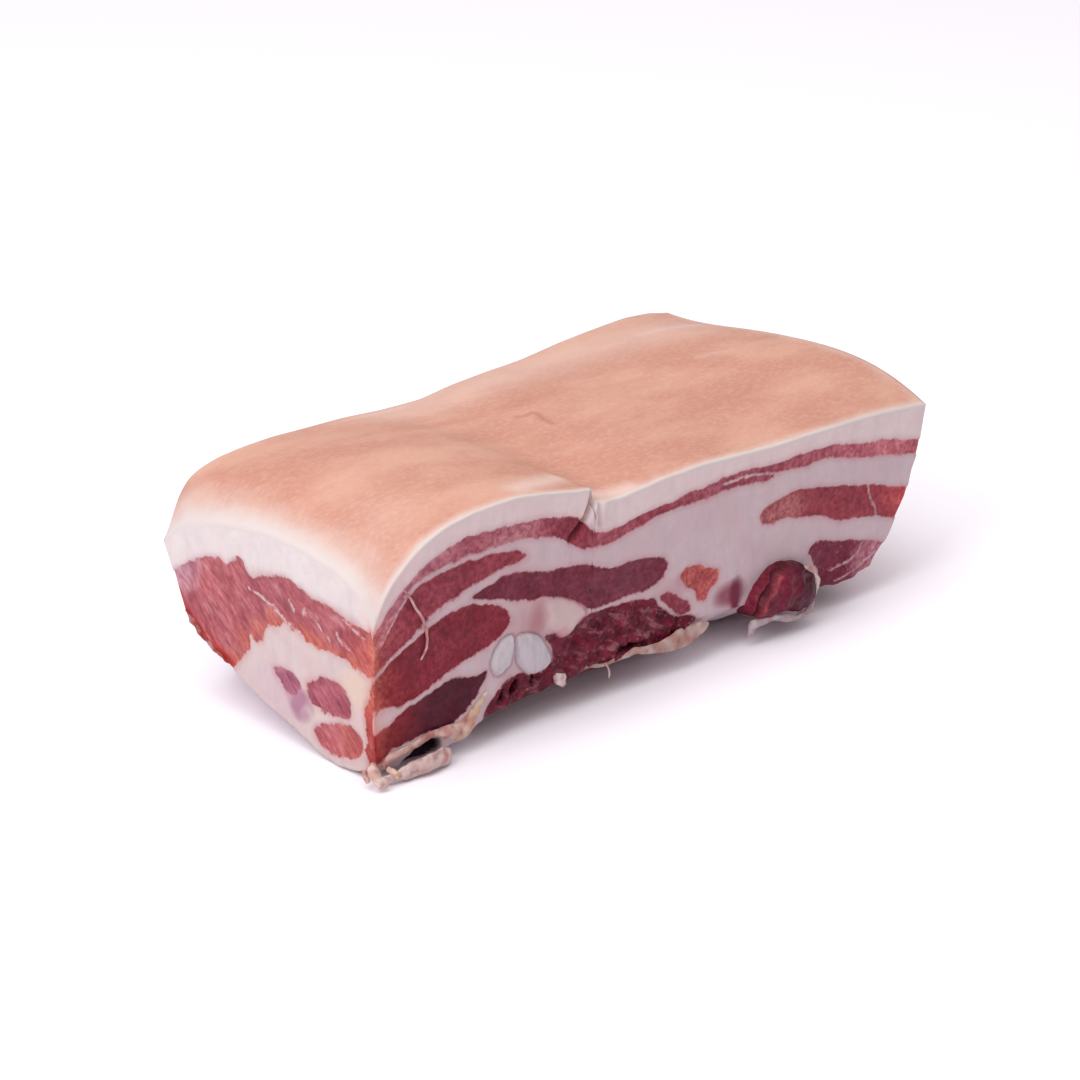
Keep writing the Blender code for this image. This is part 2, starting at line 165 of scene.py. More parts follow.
def seam_share(u, v):
    """How high up the slab, from 0 to 1, the back fat begins."""
    share = np.full_like(u, SEAM_GUESS)
    for _ in range(SEAM_ROUNDS):
        x, y, _ = slab_place(u, v, share)
        under = under_height(x, y)
        share = (cap_floor(x, y) - under) / (top_height(x, y) - under)
        share = np.clip(share, *SEAM_LIMITS)
    return share


# One seed for the uneven forms, so that the slab comes out the same each time.
SEED = 7
noise.seed_set(SEED)


def wander(points, wave):
    """A soft noise vector for each point, with bumps about a wave apart."""
    return np.array([noise.noise_vector(Vector(p) / wave) for p in points])


def cut_block(name, across, deep, rows, fine_sides):
    """A unit cube with its faces cut into cells, finer where they show most."""
    bpy.ops.object.select_all(action="DESELECT")
    bpy.ops.mesh.primitive_grid_add(x_subdivisions=across, y_subdivisions=deep, size=1,
                                    location=(0.5, 0.5, 0))
    block = bpy.context.object
    block.name = block.data.name = name
    bpy.ops.object.transform_apply(location=True)
    bpy.ops.object.mode_set(mode="EDIT")
    bpy.ops.mesh.select_all(action="SELECT")
    bpy.ops.mesh.extrude_region_move(TRANSFORM_OT_translate={"value": (0, 0, 1)})
    for row in range(1, rows):
        bpy.ops.mesh.select_all(action="SELECT")
        bpy.ops.mesh.bisect(plane_co=(0, 0, row / rows), plane_no=(0, 0, 1))
    bpy.ops.mesh.select_all(action="SELECT")
    bpy.ops.mesh.normals_make_consistent(inside=False)
    bpy.ops.object.mode_set(mode="OBJECT")
    sides = ((fine_sides, lambda n: n.x < -0.5 or n.y < -0.5),
             (fine_sides // 2, lambda n: n.x > 0.5 or n.y > 0.5))
    for cuts, faces_so in sides:
        if cuts:
            choose(block, faces_so)
            bpy.ops.object.mode_set(mode="EDIT")
            bpy.ops.mesh.subdivide(number_cuts=cuts)
            bpy.ops.object.mode_set(mode="OBJECT")
    return block


def choose(thing, faces_so):
    """Selects the faces whose normals answer a question, and nothing else."""
    bpy.context.view_layer.objects.active = thing
    bpy.ops.object.mode_set(mode="EDIT")
    bpy.ops.mesh.select_mode(type="FACE")
    bpy.ops.mesh.select_all(action="DESELECT")
    bpy.ops.object.mode_set(mode="OBJECT")
    for face in thing.data.polygons:
        face.select = faces_so(face.normal)


def coordinates(mesh):
    found = np.empty(len(mesh.vertices) * 3)
    mesh.vertices.foreach_get("co", found)
    return found.reshape(-1, 3)


def move_to(mesh, points):
    mesh.vertices.foreach_set("co", np.asarray(points).ravel())
    mesh.update()


# The bumps of the cut faces fade out in the last few millimetres below the skin.
SKIN_HOLD = 0.003
SKIN_WAVE = 0.040
SKIN_SWELL = 0.0006
CUT_WAVE = 0.009
CUT_SWELL = 0.0005


def unevenness(points):
    """The gentle swells that no knife cut and no skin is without."""
    x, y, z = points.T
    down = np.clip((top_height(x, y) - z) / SKIN_HOLD, 0, 1)[:, None]
    swell = wander(points, SKIN_WAVE) * SKIN_SWELL
    return swell + wander(points, CUT_WAVE) * CUT_SWELL * down


# The slit that the knife left below the nick: its line on the near face, and a fold and a
# small lobe of fat beside it.
SLIT = [(-31.5, 76), (-33, 73.5), (-34, 70.5), (-36.4, 66.6), (-39.4, 63.4), (-43, 60.6)]
FOLD = [(-31.5, 75), (-30, 71), (-30.8, 67.5), (-29.6, 63)]
SLIT_DEPTH = 0.0055
SLIT_HALF = 0.0011
SLIT_FOOT = 0.058
SLIT_GROWS = 0.014
SLIT_INWARD = 0.004
FOLD_DEPTH = 0.0018
LOBE = (-0.0305, 0.068)
LOBE_REACH = (0.004, 0.006)
LOBE_SWELL = 0.0012


def nick_cut(points):
    """How far the knife's slit pushes points of the near face inwards."""
    x, y, z = points.T
    deep = np.clip((z - SLIT_FOOT) / SLIT_GROWS, 0, 1)
    slit = np.exp(-(to_line(np.array(SLIT) * MM, x, z) / SLIT_HALF) ** 2) * SLIT_DEPTH * deep
    fold = np.exp(-(to_line(np.array(FOLD) * MM, x, z) / SLIT_HALF) ** 2) * FOLD_DEPTH
    aside, above = (x - LOBE[0]) / LOBE_REACH[0], (z - LOBE[1]) / LOBE_REACH[1]
    lobe = np.exp(-aside ** 2 - above ** 2) * LOBE_SWELL
    return (np.maximum(slit, fold) - lobe) * np.exp(-np.clip(y - NEAR, 0, None) / SLIT_INWARD)


def to_line(points, a, b, closed=False):
    """Distance from places to a line through some points."""
    nearest = np.full(len(a), 1.0)
    ends = np.roll(points, -1, axis=0) if closed else points[1:]
    for (a0, b0), (a1, b1) in zip(points, ends):
        run = max((a1 - a0) ** 2 + (b1 - b0) ** 2, 1e-12)
        share = np.clip(((a - a0) * (a1 - a0) + (b - b0) * (b1 - b0)) / run, 0, 1)
        distance = np.hypot(a - a0 - share * (a1 - a0), b - b0 - share * (b1 - b0))
        nearest = np.minimum(nearest, distance)
    return nearest


def store(mesh, name, values):
    """Keeps one number or one colour for each vertex."""
    values = np.asarray(values, float)
    if values.ndim == 1:
        kept = mesh.attributes.new(name, "FLOAT", "POINT")
        kept.data.foreach_set("value", values)
    else:
        kept = mesh.attributes.new(name, "FLOAT_COLOR", "POINT")
        four = np.concatenate([values, np.ones((len(values), 1))], axis=1)
        kept.data.foreach_set("color", four.ravel())


def mark_seam(thing, height):
    """Marks the rim where a layer meets the next one as sharp, so that both shade alike."""
    mesh = thing.data
    places = coordinates(mesh)
    mesh.attributes.new("sharp_edge", "BOOLEAN", "EDGE")
    outer = (places[:, :2] < TINY) | (places[:, :2] > 1 - TINY)
    rim = outer.any(axis=1) & (np.abs(places[:, 2] - height) < TINY)
    ends = np.empty(len(mesh.edges) * 2, int)
    mesh.edges.foreach_get("vertices", ends)
    mesh.attributes["sharp_edge"].data.foreach_set("value", rim[ends.reshape(-1, 2)].all(axis=1))


# The skin pales towards its cut edges, soonest at the near one, and least at the far and right ones.
RIM_NEAR = 3
RIM_FAR = 0.009
RIM_RIGHT = 0.007

cap = cut_block("rind_and_fat", across=240, deep=112, rows=8, fine_sides=1)
mark_seam(cap, 0)
u, v, w = coordinates(cap.data).T
seam = seam_share(u, v)
cap_places = np.stack(slab_place(u, v, seam + w * (1 - seam)), axis=1)
on_skin = w > 1 - TINY
x, y, _ = cap_places.T
cap_rim = np.min([(y - NEAR) * RIM_NEAR, x - LEFT, far_edge(x) - y + RIM_FAR,
                  RIGHT - x + RIM_RIGHT], axis=0)


# The lean and the soft fat of the belly
# Under the back fat the muscles of the belly wall lie in soft fat, and run across the slab
# from its near cut face to its far one. It is one piece of meat, held together by itself.

# The long streak of lean under the back fat, by the heights of its upper and lower edge.
STREAK_TOP = [(-133, 42), (-123, 53), (-118.6, 57.8), (-114.6, 62.3), (-104.8, 68.4), (-94.8, 72.1),
              (-85, 73.6), (-74.8, 72.9), (-54.4, 71.3), (-44, 68.7), (-38, 67), (-35, 62),
              (-28.5, 59.2), (-21.7, 58.8), (-10.3, 61.1), (1.2, 61.6), (11.6, 62.8), (27, 63.3),
              (40.2, 63.4), (51.2, 62.2), (62.2, 62.8), (79.7, 61.1), (101.5, 57.9), (125, 52.4)]
STREAK_BOTTOM = [(-133, 20), (-122, 47), (-116, 55), (-109.8, 62.2), (-104.8, 64.3), (-94.9, 66.4),
                 (-85, 67.3), (-64.7, 67), (-54.4, 65.1), (-48.3, 63.3), (-44.5, 61.3),
                 (-40.6, 57.7), (-34.3, 55.1), (-25.1, 53.9), (-16, 55.6), (-10.3, 56.5), (1.2, 58.6),
                 (11.7, 58.4), (33.1, 58.5), (42.8, 56.8), (48.9, 57.1), (53, 58.6), (63.6, 57.6),
                 (79.9, 56.4), (101.8, 52.1), (125, 46.8)]

# Muscles, rib tips and the knob of fat between them, as they show on the near face.
SECOND_LEAN = [(-133, 37), (-124, 44), (-120, 49), (-116.2, 54.2), (-109.8, 60.8), (-106, 62.6),
               (-94.9, 65.4), (-85, 66), (-74.9, 65.2), (-66, 63.6), (-61, 60.2), (-64.7, 59.1),
               (-74.9, 58.7), (-85.1, 56.3), (-95.1, 53.4), (-103.1, 49.6), (-110, 46.3),
               (-118.1, 41.2), (-123.9, 37.2), (-133, 31)]
MAIN_LEAN = [(-133, 26), (-127, 34), (-115, 42.4), (-105.1, 47), (-95.1, 49.8), (-87.1, 50.6),
             (-79.1, 49), (-71, 45.8), (-68.2, 40.4), (-70.2, 36.8), (-75.1, 34), (-85.4, 33),
             (-92.4, 30.1), (-100.5, 26.9), (-110.4, 24.3), (-115.4, 23.4), (-121.2, 25.5),
             (-133, 23)]
LOWER_LEAN = [(-133, 14), (-120.4, 18.6), (-113.5, 22), (-105.5, 24.2), (-97.5, 26.6),
              (-92.4, 27.4), (-83.3, 25), (-79, 25.4), (-78.7, 22.5), (-83.4, 18), (-88.5, 14.6),
              (-93.6, 11.1), (-102.7, 12), (-110.7, 11.2), (-118.6, 9.6), (-122.6, 6.5), (-133, 5)]
DARK_LEAN = [(-86, 52.2), (-74.9, 55.8), (-69.8, 56.9), (-59.5, 54.8), (-52.2, 52.7), (-43.9, 52.5),
             (-33.2, 49.4), (-27.9, 46.8), (-22.5, 45.6), (-13.8, 45.6), (-1.7, 43.1), (1.7, 39.1),
             (-1.5, 34.3), (-9.2, 32.4), (-16.9, 33), (-27.7, 33.2), (-34.2, 33), (-39.6, 38.6),
             (-49.1, 42.6), (-56.5, 44.2), (-64.7, 45.6), (-69.9, 47.4), (-79.1, 50.4)]
RAGGED_LEAN = [(-82, 2), (-80, 11.5), (-76.4, 16), (-70.6, 19.6), (-63.7, 20.4), (-56.8, 18.4),
               (-50.6, 18.6), (-50, 24.5), (-54.5, 30.5), (-50.2, 30.6), (-46.3, 27), (-41.6, 28.2),
               (-35.7, 32), (-26.2, 31.8), (-14.2, 31), (-5, 29.4), (-3.1, 25.2), (4.4, 20),
               (14.4, 17.2), (16, 12), (-4, 8), (-12, 4)]
RAGGED_PATCH = [(-3.4, 28.6), (1.1, 29.6), (6.6, 26.2), (11.4, 22.4), (12.6, 19.2), (8.9, 18.8),
                (4, 21.6), (0, 24.8)]
FLANK_BAND = [(42.9, 44.4), (46.1, 47.2), (52.6, 48.9), (60.3, 50.2), (71.6, 48.1), (83.1, 45.2),
              (94.7, 43.2), (106.5, 39.8), (118, 36.6), (135, 32), (135, 20), (113.1, 25.8),
              (101.3, 29), (89.5, 31.8), (80.2, 33.1), (75.6, 36), (66.4, 38.5), (55.2, 41.4),
              (48.6, 40.6), (44.1, 41.6)]
FLANK_LEAN = [(66.9, 26), (72.5, 28.6), (84.1, 25.1), (93.4, 22.5), (101.7, 20.2), (107, 17.6),
              (118, 10), (112, 2), (77, 3), (74.4, 11.5), (73, 17.1), (69.4, 22.2)]
SMALL_LEAN = [(6.4, 33.6), (9.6, 36.6), (14, 36.2), (19, 33.6), (24.4, 31.4), (24.6, 27), (20.4, 25.6),
              (18.8, 21.8), (14.8, 22.2), (13.6, 26.4), (9.6, 28.8)]
KNOB_OF_FAT = [(-57, 40), (-52.5, 42.8), (-44.8, 41.2), (-39.3, 38), (-35.2, 32.8), (-38.6, 31),
               (-42, 28.3), (-45.9, 27.7), (-49.6, 30.6), (-55.6, 34.8)]
RIB_TIP_LEFT = [(-67.4, 35), (-72, 34), (-76, 30.6), (-77.6, 26.4), (-76, 22.8), (-72.4, 21.6),
                (-69, 24.4), (-67.2, 28.4), (-66.2, 32)]
RIB_TIP_RIGHT = [(-65, 34), (-58.5, 32.8), (-53.2, 27.8), (-50.4, 22.2), (-51.8, 18),
                 (-58, 17.2), (-63.6, 20.4), (-66.4, 25), (-66.4, 30)]
# On the short face the same muscles end in one arch of lean over three small ones.
END_LEAN = [(50, 42), (42.3, 39.4), (35.6, 45), (28.1, 49.3), (21, 52.6), (15, 53.4), (12.6, 51.2),
            (9.5, 54), (7.2, 56.2), (4, 56.4), (1.3, 52.6), (-3.9, 51.8), (-10.2, 55.3), (-18.9, 57.6),
            (-25.8, 56.3), (-31.8, 53.6), (-39.4, 55.1), (-45.4, 53), (-53.2, 51.2), (-59, 51.7),
            (-70, 54.5), (-70, 36), (-61.6, 36.5), (-55, 36.6), (-48, 38), (-39.4, 38.4),
            (-31, 38.2), (-26, 39.8), (-17.8, 41.8), (-13.5, 38), (-8.5, 36.8), (-6.2, 30.6),
            (-2, 29.4), (0.6, 30.9), (0.2, 25), (6, 19.6), (10, 14), (12, 8), (50, 20)]
END_LEAN_MIDDLE = [(-26.8, 24.6), (-31.8, 27.8), (-41.1, 30), (-47.4, 28), (-50, 23.8), (-49.8, 18.4),
                   (-43.5, 16.8), (-36.4, 17.2), (-28.6, 17.8), (-28.4, 20.8)]
END_LEAN_LOW = [(-31.4, 9.7), (-37.7, 14.2), (-47.7, 16.6), (-55, 14.6), (-56.4, 8),
                (-49.4, 4.6), (-40.2, 3), (-33.4, 4.6)]
END_LEAN_SMALL = [(-10, 23), (-16.5, 25.9), (-22.8, 24.8), (-25.2, 21.4), (-23.2, 17.9), (-19.1, 16.6),
                  (-13.4, 19.2)]
END_STRIP = [(-56.5, 25), (-58.5, 28), (-60.5, 33), (-70, 38), (-70, 4), (-58.5, 4), (-57.5, 12)]
END_STREAKS = [([(1, 47.4), (-4, 46.6), (-11.7, 44.6), (-18, 42.4), (-25, 40.6)], 0.35),
               ([(-20, 50), (-22, 47)], 0.2),
               ([(-33, 47.6), (-36, 45)], 0.3), ([(-28, 50.5), (-27, 47)], 0.2),
               ([(-44, 46), (-47, 43), (-50, 42.5)], 0.15), ([(-40, 44), (-42, 41.5)], 0.25),
               ([(-46, 52), (-52, 49.6), (-58, 48.4)], 0.1)]
END_DEPTH = 0.017

# Hollows where the meat was torn from the bone and the membrane folds away from it. They are sunk into the
# face, and their darkness is painted shade.
HOLLOWS = [
    [(-117, 2.6), (-112, 5.8), (-107, 8.2), (-102, 9), (-98.8, 7.6), (-98.4, 4), (-104, 1.6), (-111, 1)],
    [(-74.5, 12.5), (-72.6, 17), (-71.4, 17.4), (-72.2, 12.6)],
    [(-68.4, 14.6), (-66.2, 18.4), (-65, 17.6), (-66.6, 14)],
    [(-60.4, 15.2), (-58.6, 17.4), (-57.6, 15.6), (-59, 14)],
    [(-23, 14.4), (-16, 15.6), (-9, 14.8), (-14, 14)],
]
WALL_PLAN = [(-135, -60), (-104, -57.5), (-98, -50), (-98, 90), (-135, 90)]
SWAY = 0.009

# Thin lines of silver skin that part the muscles, and half their width.
SILVER_SKIN = [
    ([(-125, 36), (-117.2, 41.6), (-111.8, 44.9), (-107, 47.8), (-100.2, 51.4), (-92.6, 54.2)], 0.5),
    ([(-122, 20), (-114, 23), (-106.7, 24.8), (-98.5, 27.6), (-90.2, 30.2), (-81.8, 32.9)], 0.75),
    ([(-112, 61), (-108, 62.8), (-102, 64.8), (-95.2, 66.2), (-85, 67), (-72.5, 66), (-62, 65)], 0.55),
    ([(96, 44), (96.8, 41.7), (98, 37.9), (100.8, 33.3), (101.6, 29)], 0.3),
    ([(95, 21), (92.6, 17.4), (86.8, 16.1), (79.2, 15.4)], 0.15),
    ([(102.4, 15.6), (93.4, 12.8), (82, 10.8)], 0.15),
    ([(25.9, 61), (37.8, 61), (45.1, 60), (51.3, 58.4), (57, 57.4)], 0.35),
]


def on_near_face(x, y, z):
    """Where the muscle that passes a point shows on the near face."""
    across = np.clip((y - NEAR) / (FAR_RIGHT - NEAR), 0, 1)
    back = x - SWAY * np.sin(math.pi * across) * fall(np.abs(x), RIGHT)
    return back, z * top_height(x, NEAR) / top_height(x, y)


def rounded(outline):
    """An outline in metres with its corners cut twice."""
    points = np.array(outline) * MM
    for _ in range(2):
        after = np.roll(points, -1, axis=0)
        points = np.stack([points * 0.8 + after * 0.2, points * 0.2 + after * 0.8], axis=1)
        points = points.reshape(-1, 2)
    return points


def inside(outline, a, b):
    """How far inside an outline places lie, below 0 outside it."""
    points = rounded(outline)
    within = np.zeros(len(a), bool)
    for (a0, b0), (a1, b1) in zip(points, np.roll(points, -1, axis=0)):
        if b0 != b1:
            crosses = (b0 > b) != (b1 > b)
            within ^= crosses & (a < a0 + (b - b0) * (a1 - a0) / (b1 - b0))
    distance = to_line(points, a, b, closed=True)
    return np.where(within, distance, -distance)


def linear(colour):
    """The shader's form of a colour given as 0 to 255."""
    share = np.array(colour) / 255
    return np.where(share <= 0.04045, share / 12.92, ((share + 0.055) / 1.055) ** 2.4)


def tinge(colours, share, colour):
    """Brings colours towards another one by a share for each vertex."""
    colours += np.clip(share, 0, 1)[:, None] * (linear(colour) - colours)


def blot(a, b, centre, reach):
    """1 at the middle of a soft spot, 0 outside it. Its middle and reach are millimetres."""
    aside = (a / MM - centre[0]) / reach[0]
    above = (b / MM - centre[1]) / reach[1]
    return np.clip(1 - aside ** 2 - above ** 2, 0, 1)


STREAK_RED = (170, 82, 96)
STREAK_RIGHT_RED = (204, 112, 122)
STREAK_LEFT_RED = (200, 126, 137)
SECOND_RED = (154, 58, 72)
MAIN_RED = (138, 36, 52)
LOWER_RED = (86, 14, 38)
DARK_RED = (126, 42, 62)
RAGGED_RED = (114, 26, 48)
PATCH_RED = (152, 62, 76)
FLANK_RED = (160, 58, 70)
FLANK_LOW_RED = (130, 38, 64)
SMALL_RED = (192, 90, 86)
END_RED = (183, 98, 104)
END_MIDDLE_RED = (176, 92, 106)
END_LOW_RED = (194, 104, 108)
END_SMALL_RED = (188, 120, 136)
END_STRIP_RED = (180, 66, 62)
END_EDGE_RED = (190, 54, 46)
ORANGE = (206, 108, 82)
CORNER_ORANGE = (222, 120, 98)
CORNER_RED = (168, 38, 44)
CORNER_FAT = (226, 140, 110)
# Dark red: painted shade inside the knife's slit.
SLIT_SHADE_RED = (92, 20, 32)
SLIT_FAT = (206, 128, 104)
# Near black: painted shade for the hollows.
PAINTED_HOLLOW_SHADE = (34, 6, 14)
SOFT_FAT = (212, 190, 195)
BACK_FAT = (232, 212, 212)
END_FAT = (216, 198, 196)
END_BACK_FAT = (228, 218, 217)
KNOB_FAT = (218, 192, 190)
# Reddish, painted shade in the crease round the knob's lower right edge.
KNOB_RIM_SHADE = (158, 84, 96)
MAUVE = (164, 108, 134)
FAT_BY_LEAN = (196, 112, 118)

# The muscles of the long face: outline, colour, marbling, and whether they end at the wall.
MUSCLES = [
    (SECOND_LEAN, SECOND_RED, 0.05, False), (MAIN_LEAN, MAIN_RED, 0.05, True),
    (LOWER_LEAN, LOWER_RED, 0.0, True), (DARK_LEAN, DARK_RED, 0.12, False),
    (RAGGED_LEAN, RAGGED_RED, 0.7, False), (RAGGED_PATCH, PATCH_RED, 0.4, False),
    (FLANK_BAND, FLANK_RED, 0.25, False), (FLANK_LEAN, FLANK_LOW_RED, 0.6, False),
    (SMALL_LEAN, SMALL_RED, 0.5, False),
]
STREAK_MARBLING = 0.15
END_MUSCLES = [(END_LEAN_MIDDLE, END_MIDDLE_RED), (END_LEAN_LOW, END_LOW_RED),
               (END_LEAN_SMALL, END_SMALL_RED), (END_STRIP, END_STRIP_RED)]
END_MARBLING = 0.8
END_MUSCLE_MARBLING = 0.35

# Soft patches of another shade: middle and reach in millimetres, strength and colour.
STREAK_PATCHES = [
    ((-68, 69), (14, 7), 0.8, (196, 124, 132)), ((-40, 63), (12, 9), 1, (150, 50, 66)),
    ((-5, 59), (16, 8), 0.6, (160, 62, 74)),
]
LEAN_PATCHES = [
    ((-118, 20), (16, 22), 0.5, (150, 32, 40)), ((-98, 60), (22, 9), 0.5, (158, 66, 80)),
    ((-96, 42), (16, 8), 0.35, (150, 62, 78)), ((-20, 39), (22, 8), 0.5, (128, 60, 78)),
    ((116, 33), (14, 9), 0.9, (212, 84, 90)), ((101, 14), (14, 10), 1.1, (196, 122, 138)),
    ((50, 44), (18, 8), 0.9, (190, 112, 112)),
]
ORANGE_PLACES = ((-50, 37.5), (-38, 38.4), (-27, 39.6), (-15, 40), (-7, 34), (2, 28), (7, 20))
END_PATCHES = [
    ((20, 34), (26, 24), 0.6, (190, 98, 102)), ((-58, 44), (14, 14), 0.8, (182, 78, 78)),
    ((-30, 47), (20, 9), 0.5, (172, 86, 94)),
    *((place, (9, 5), 0.6, ORANGE) for place in ORANGE_PLACES),
    ((38, 43), (11, 11), 0.9, (198, 146, 158)),
]
END_LOW_PATCHES = [((-50, 10), (8, 9), 0.5, (208, 112, 88)), ((-18, 21), (8, 6), 0.6, (160, 80, 110))]
KNOB_STAIN = [((-60, 36), (12, 12), 0.7, (204, 158, 160))]
# Patches of the soft fat: the first is painted shade at the left edge of the knob's dome, the others are
# pink tints.
FAT_PATCHES_AND_SHADE = [
    ((-57, 37.6), (5, 8), 0.6, (172, 108, 114)), ((7, 31), (12, 5), 0.35, (196, 120, 126)),
    ((-46, 28), (4, 5), 0.6, (208, 140, 140)),
]
LUMP_STAIN = [((30, 21), (9, 6), 1.2, (158, 92, 108)), ((33, 20), (4, 8), 1.3, (128, 50, 72))]
END_FAT_PATCHES = [((-14, 16), (16, 10), 0.5, (210, 180, 196)), ((-54, 30), (12, 8), 0.5, (232, 206, 176))]


def patch(colours, a, b, patches, share=1):
    """Brings colours towards those of soft patches, by a share for each vertex."""
    for middle, reach, strength, colour in patches:
        tinge(colours, blot(a, b, middle, reach) * share * strength, colour)


# Where along the long face the streak pales and the torn lean becomes most ragged.
STREAK_RIGHT = 0.060
STREAK_RIGHT_BLEND = 0.04
STREAK_LEFT = -0.078
STREAK_LEFT_BLEND = 0.03
RAGGED_FROM = -0.045
RAGGED_BLEND = 0.02
RAGGED_RIM = 0.001


def near_pattern(a, b, x, y):
    """Lean of the long face: how deep in it places lie, its colour, marbling and raggedness."""
    lean = np.minimum(along(STREAK_TOP, a) - b, b - along(STREAK_BOTTOM, a))
    flesh = np.tile(linear(STREAK_RED), (len(a), 1))
    tinge(flesh, (a - STREAK_RIGHT) / STREAK_RIGHT_BLEND, STREAK_RIGHT_RED)
    tinge(flesh, (STREAK_LEFT - a) / STREAK_LEFT_BLEND, STREAK_LEFT_RED)
    patch(flesh, a, b, STREAK_PATCHES)
    marbled = np.full(len(a), STREAK_MARBLING)
    wall = inside(WALL_PLAN, x, y)
    for outline, red, marbling, stops in MUSCLES:
        held = inside(outline, a, b)
        if stops:
            held = np.minimum(held, -wall)
        nearer = held > lean
        flesh[nearer] = linear(red)
        marbled[nearer] = marbling
        lean = np.maximum(lean, held)
        if outline is RAGGED_LEAN:
            more = 0.7 + 0.3 * np.clip((a - RAGGED_FROM) / RAGGED_BLEND, 0, 1)
            ragged = np.clip((held + RAGGED_RIM) / (2 * RAGGED_RIM), 0, 1) * more
    for line, half in SILVER_SKIN:
        lean = np.minimum(lean, to_line(np.array(line) * MM, a, b) - half * MM)
    patch(flesh, a, b, LEAN_PATCHES)
    return lean, flesh, marbled, ragged


# The dried red line along the lower edge of the short face.
END_EDGE = 0.0042
END_EDGE_BLEND = 0.002
END_EDGE_START = 0.006
END_EDGE_GROWS = 0.004


def end_pattern(y, z, x):
    """Lean of the short face: how deep in it places lie, its colour and its marbling."""
    lean = inside(END_LEAN, y, z)
    flesh = np.tile(linear(END_RED), (len(y), 1))
    patch(flesh, y, z, END_PATCHES)
    above_edge = z - under_height(x, y)
    on_line = np.clip((y - END_EDGE_START) / END_EDGE_GROWS, 0, 1)
    tinge(flesh, (END_EDGE - above_edge) / END_EDGE_BLEND * on_line, END_EDGE_RED)
    marbled = np.full(len(y), END_MARBLING)
    for outline, red in END_MUSCLES:
        held = np.minimum(inside(outline, y, z), LEFT + END_DEPTH - x)
        nearer = held > lean
        flesh[nearer] = linear(red)
        marbled[nearer] = END_MUSCLE_MARBLING
        lean = np.maximum(lean, held)
    for line, half in END_STREAKS:
        lean = np.minimum(lean, to_line(np.array(line) * MM, y, z) - half * MM)
    patch(flesh, y, z, END_LOW_PATCHES)
    return lean, flesh, marbled


# How far the edges of the muscles stray, by the wave and size of the bumps in metres.
STRAYS = [(0.004, 0.0005), (0.0015, 0.0003), (0.012, 0.0004)]
END_REACH = 0.012
END_BLEND = 0.0015
CORNER_WIDTH = 0.003
CORNER_LOW = 0.036
CORNER_LOW_BLEND = 0.02
CAP_BLEND = 0.003
KNOB_BACK = 0.01
KNOB_RIGHT = -0.052
KNOB_RIGHT_BLEND = 0.006
KNOB_RIM_HALF = 0.0006
LUMP_STAIN_REACH = 0.05
MAUVE_PLACE = (-25, 15.5)
MAUVE_REACH = (7.5, 7)
SLIT_STAIN_HALF = 0.0008
SLIT_STAIN_INWARD = 0.006
FAT_BY_LEAN_REACH = 0.0022
HOLLOW_INWARD = 0.004
FARTHEST = 5


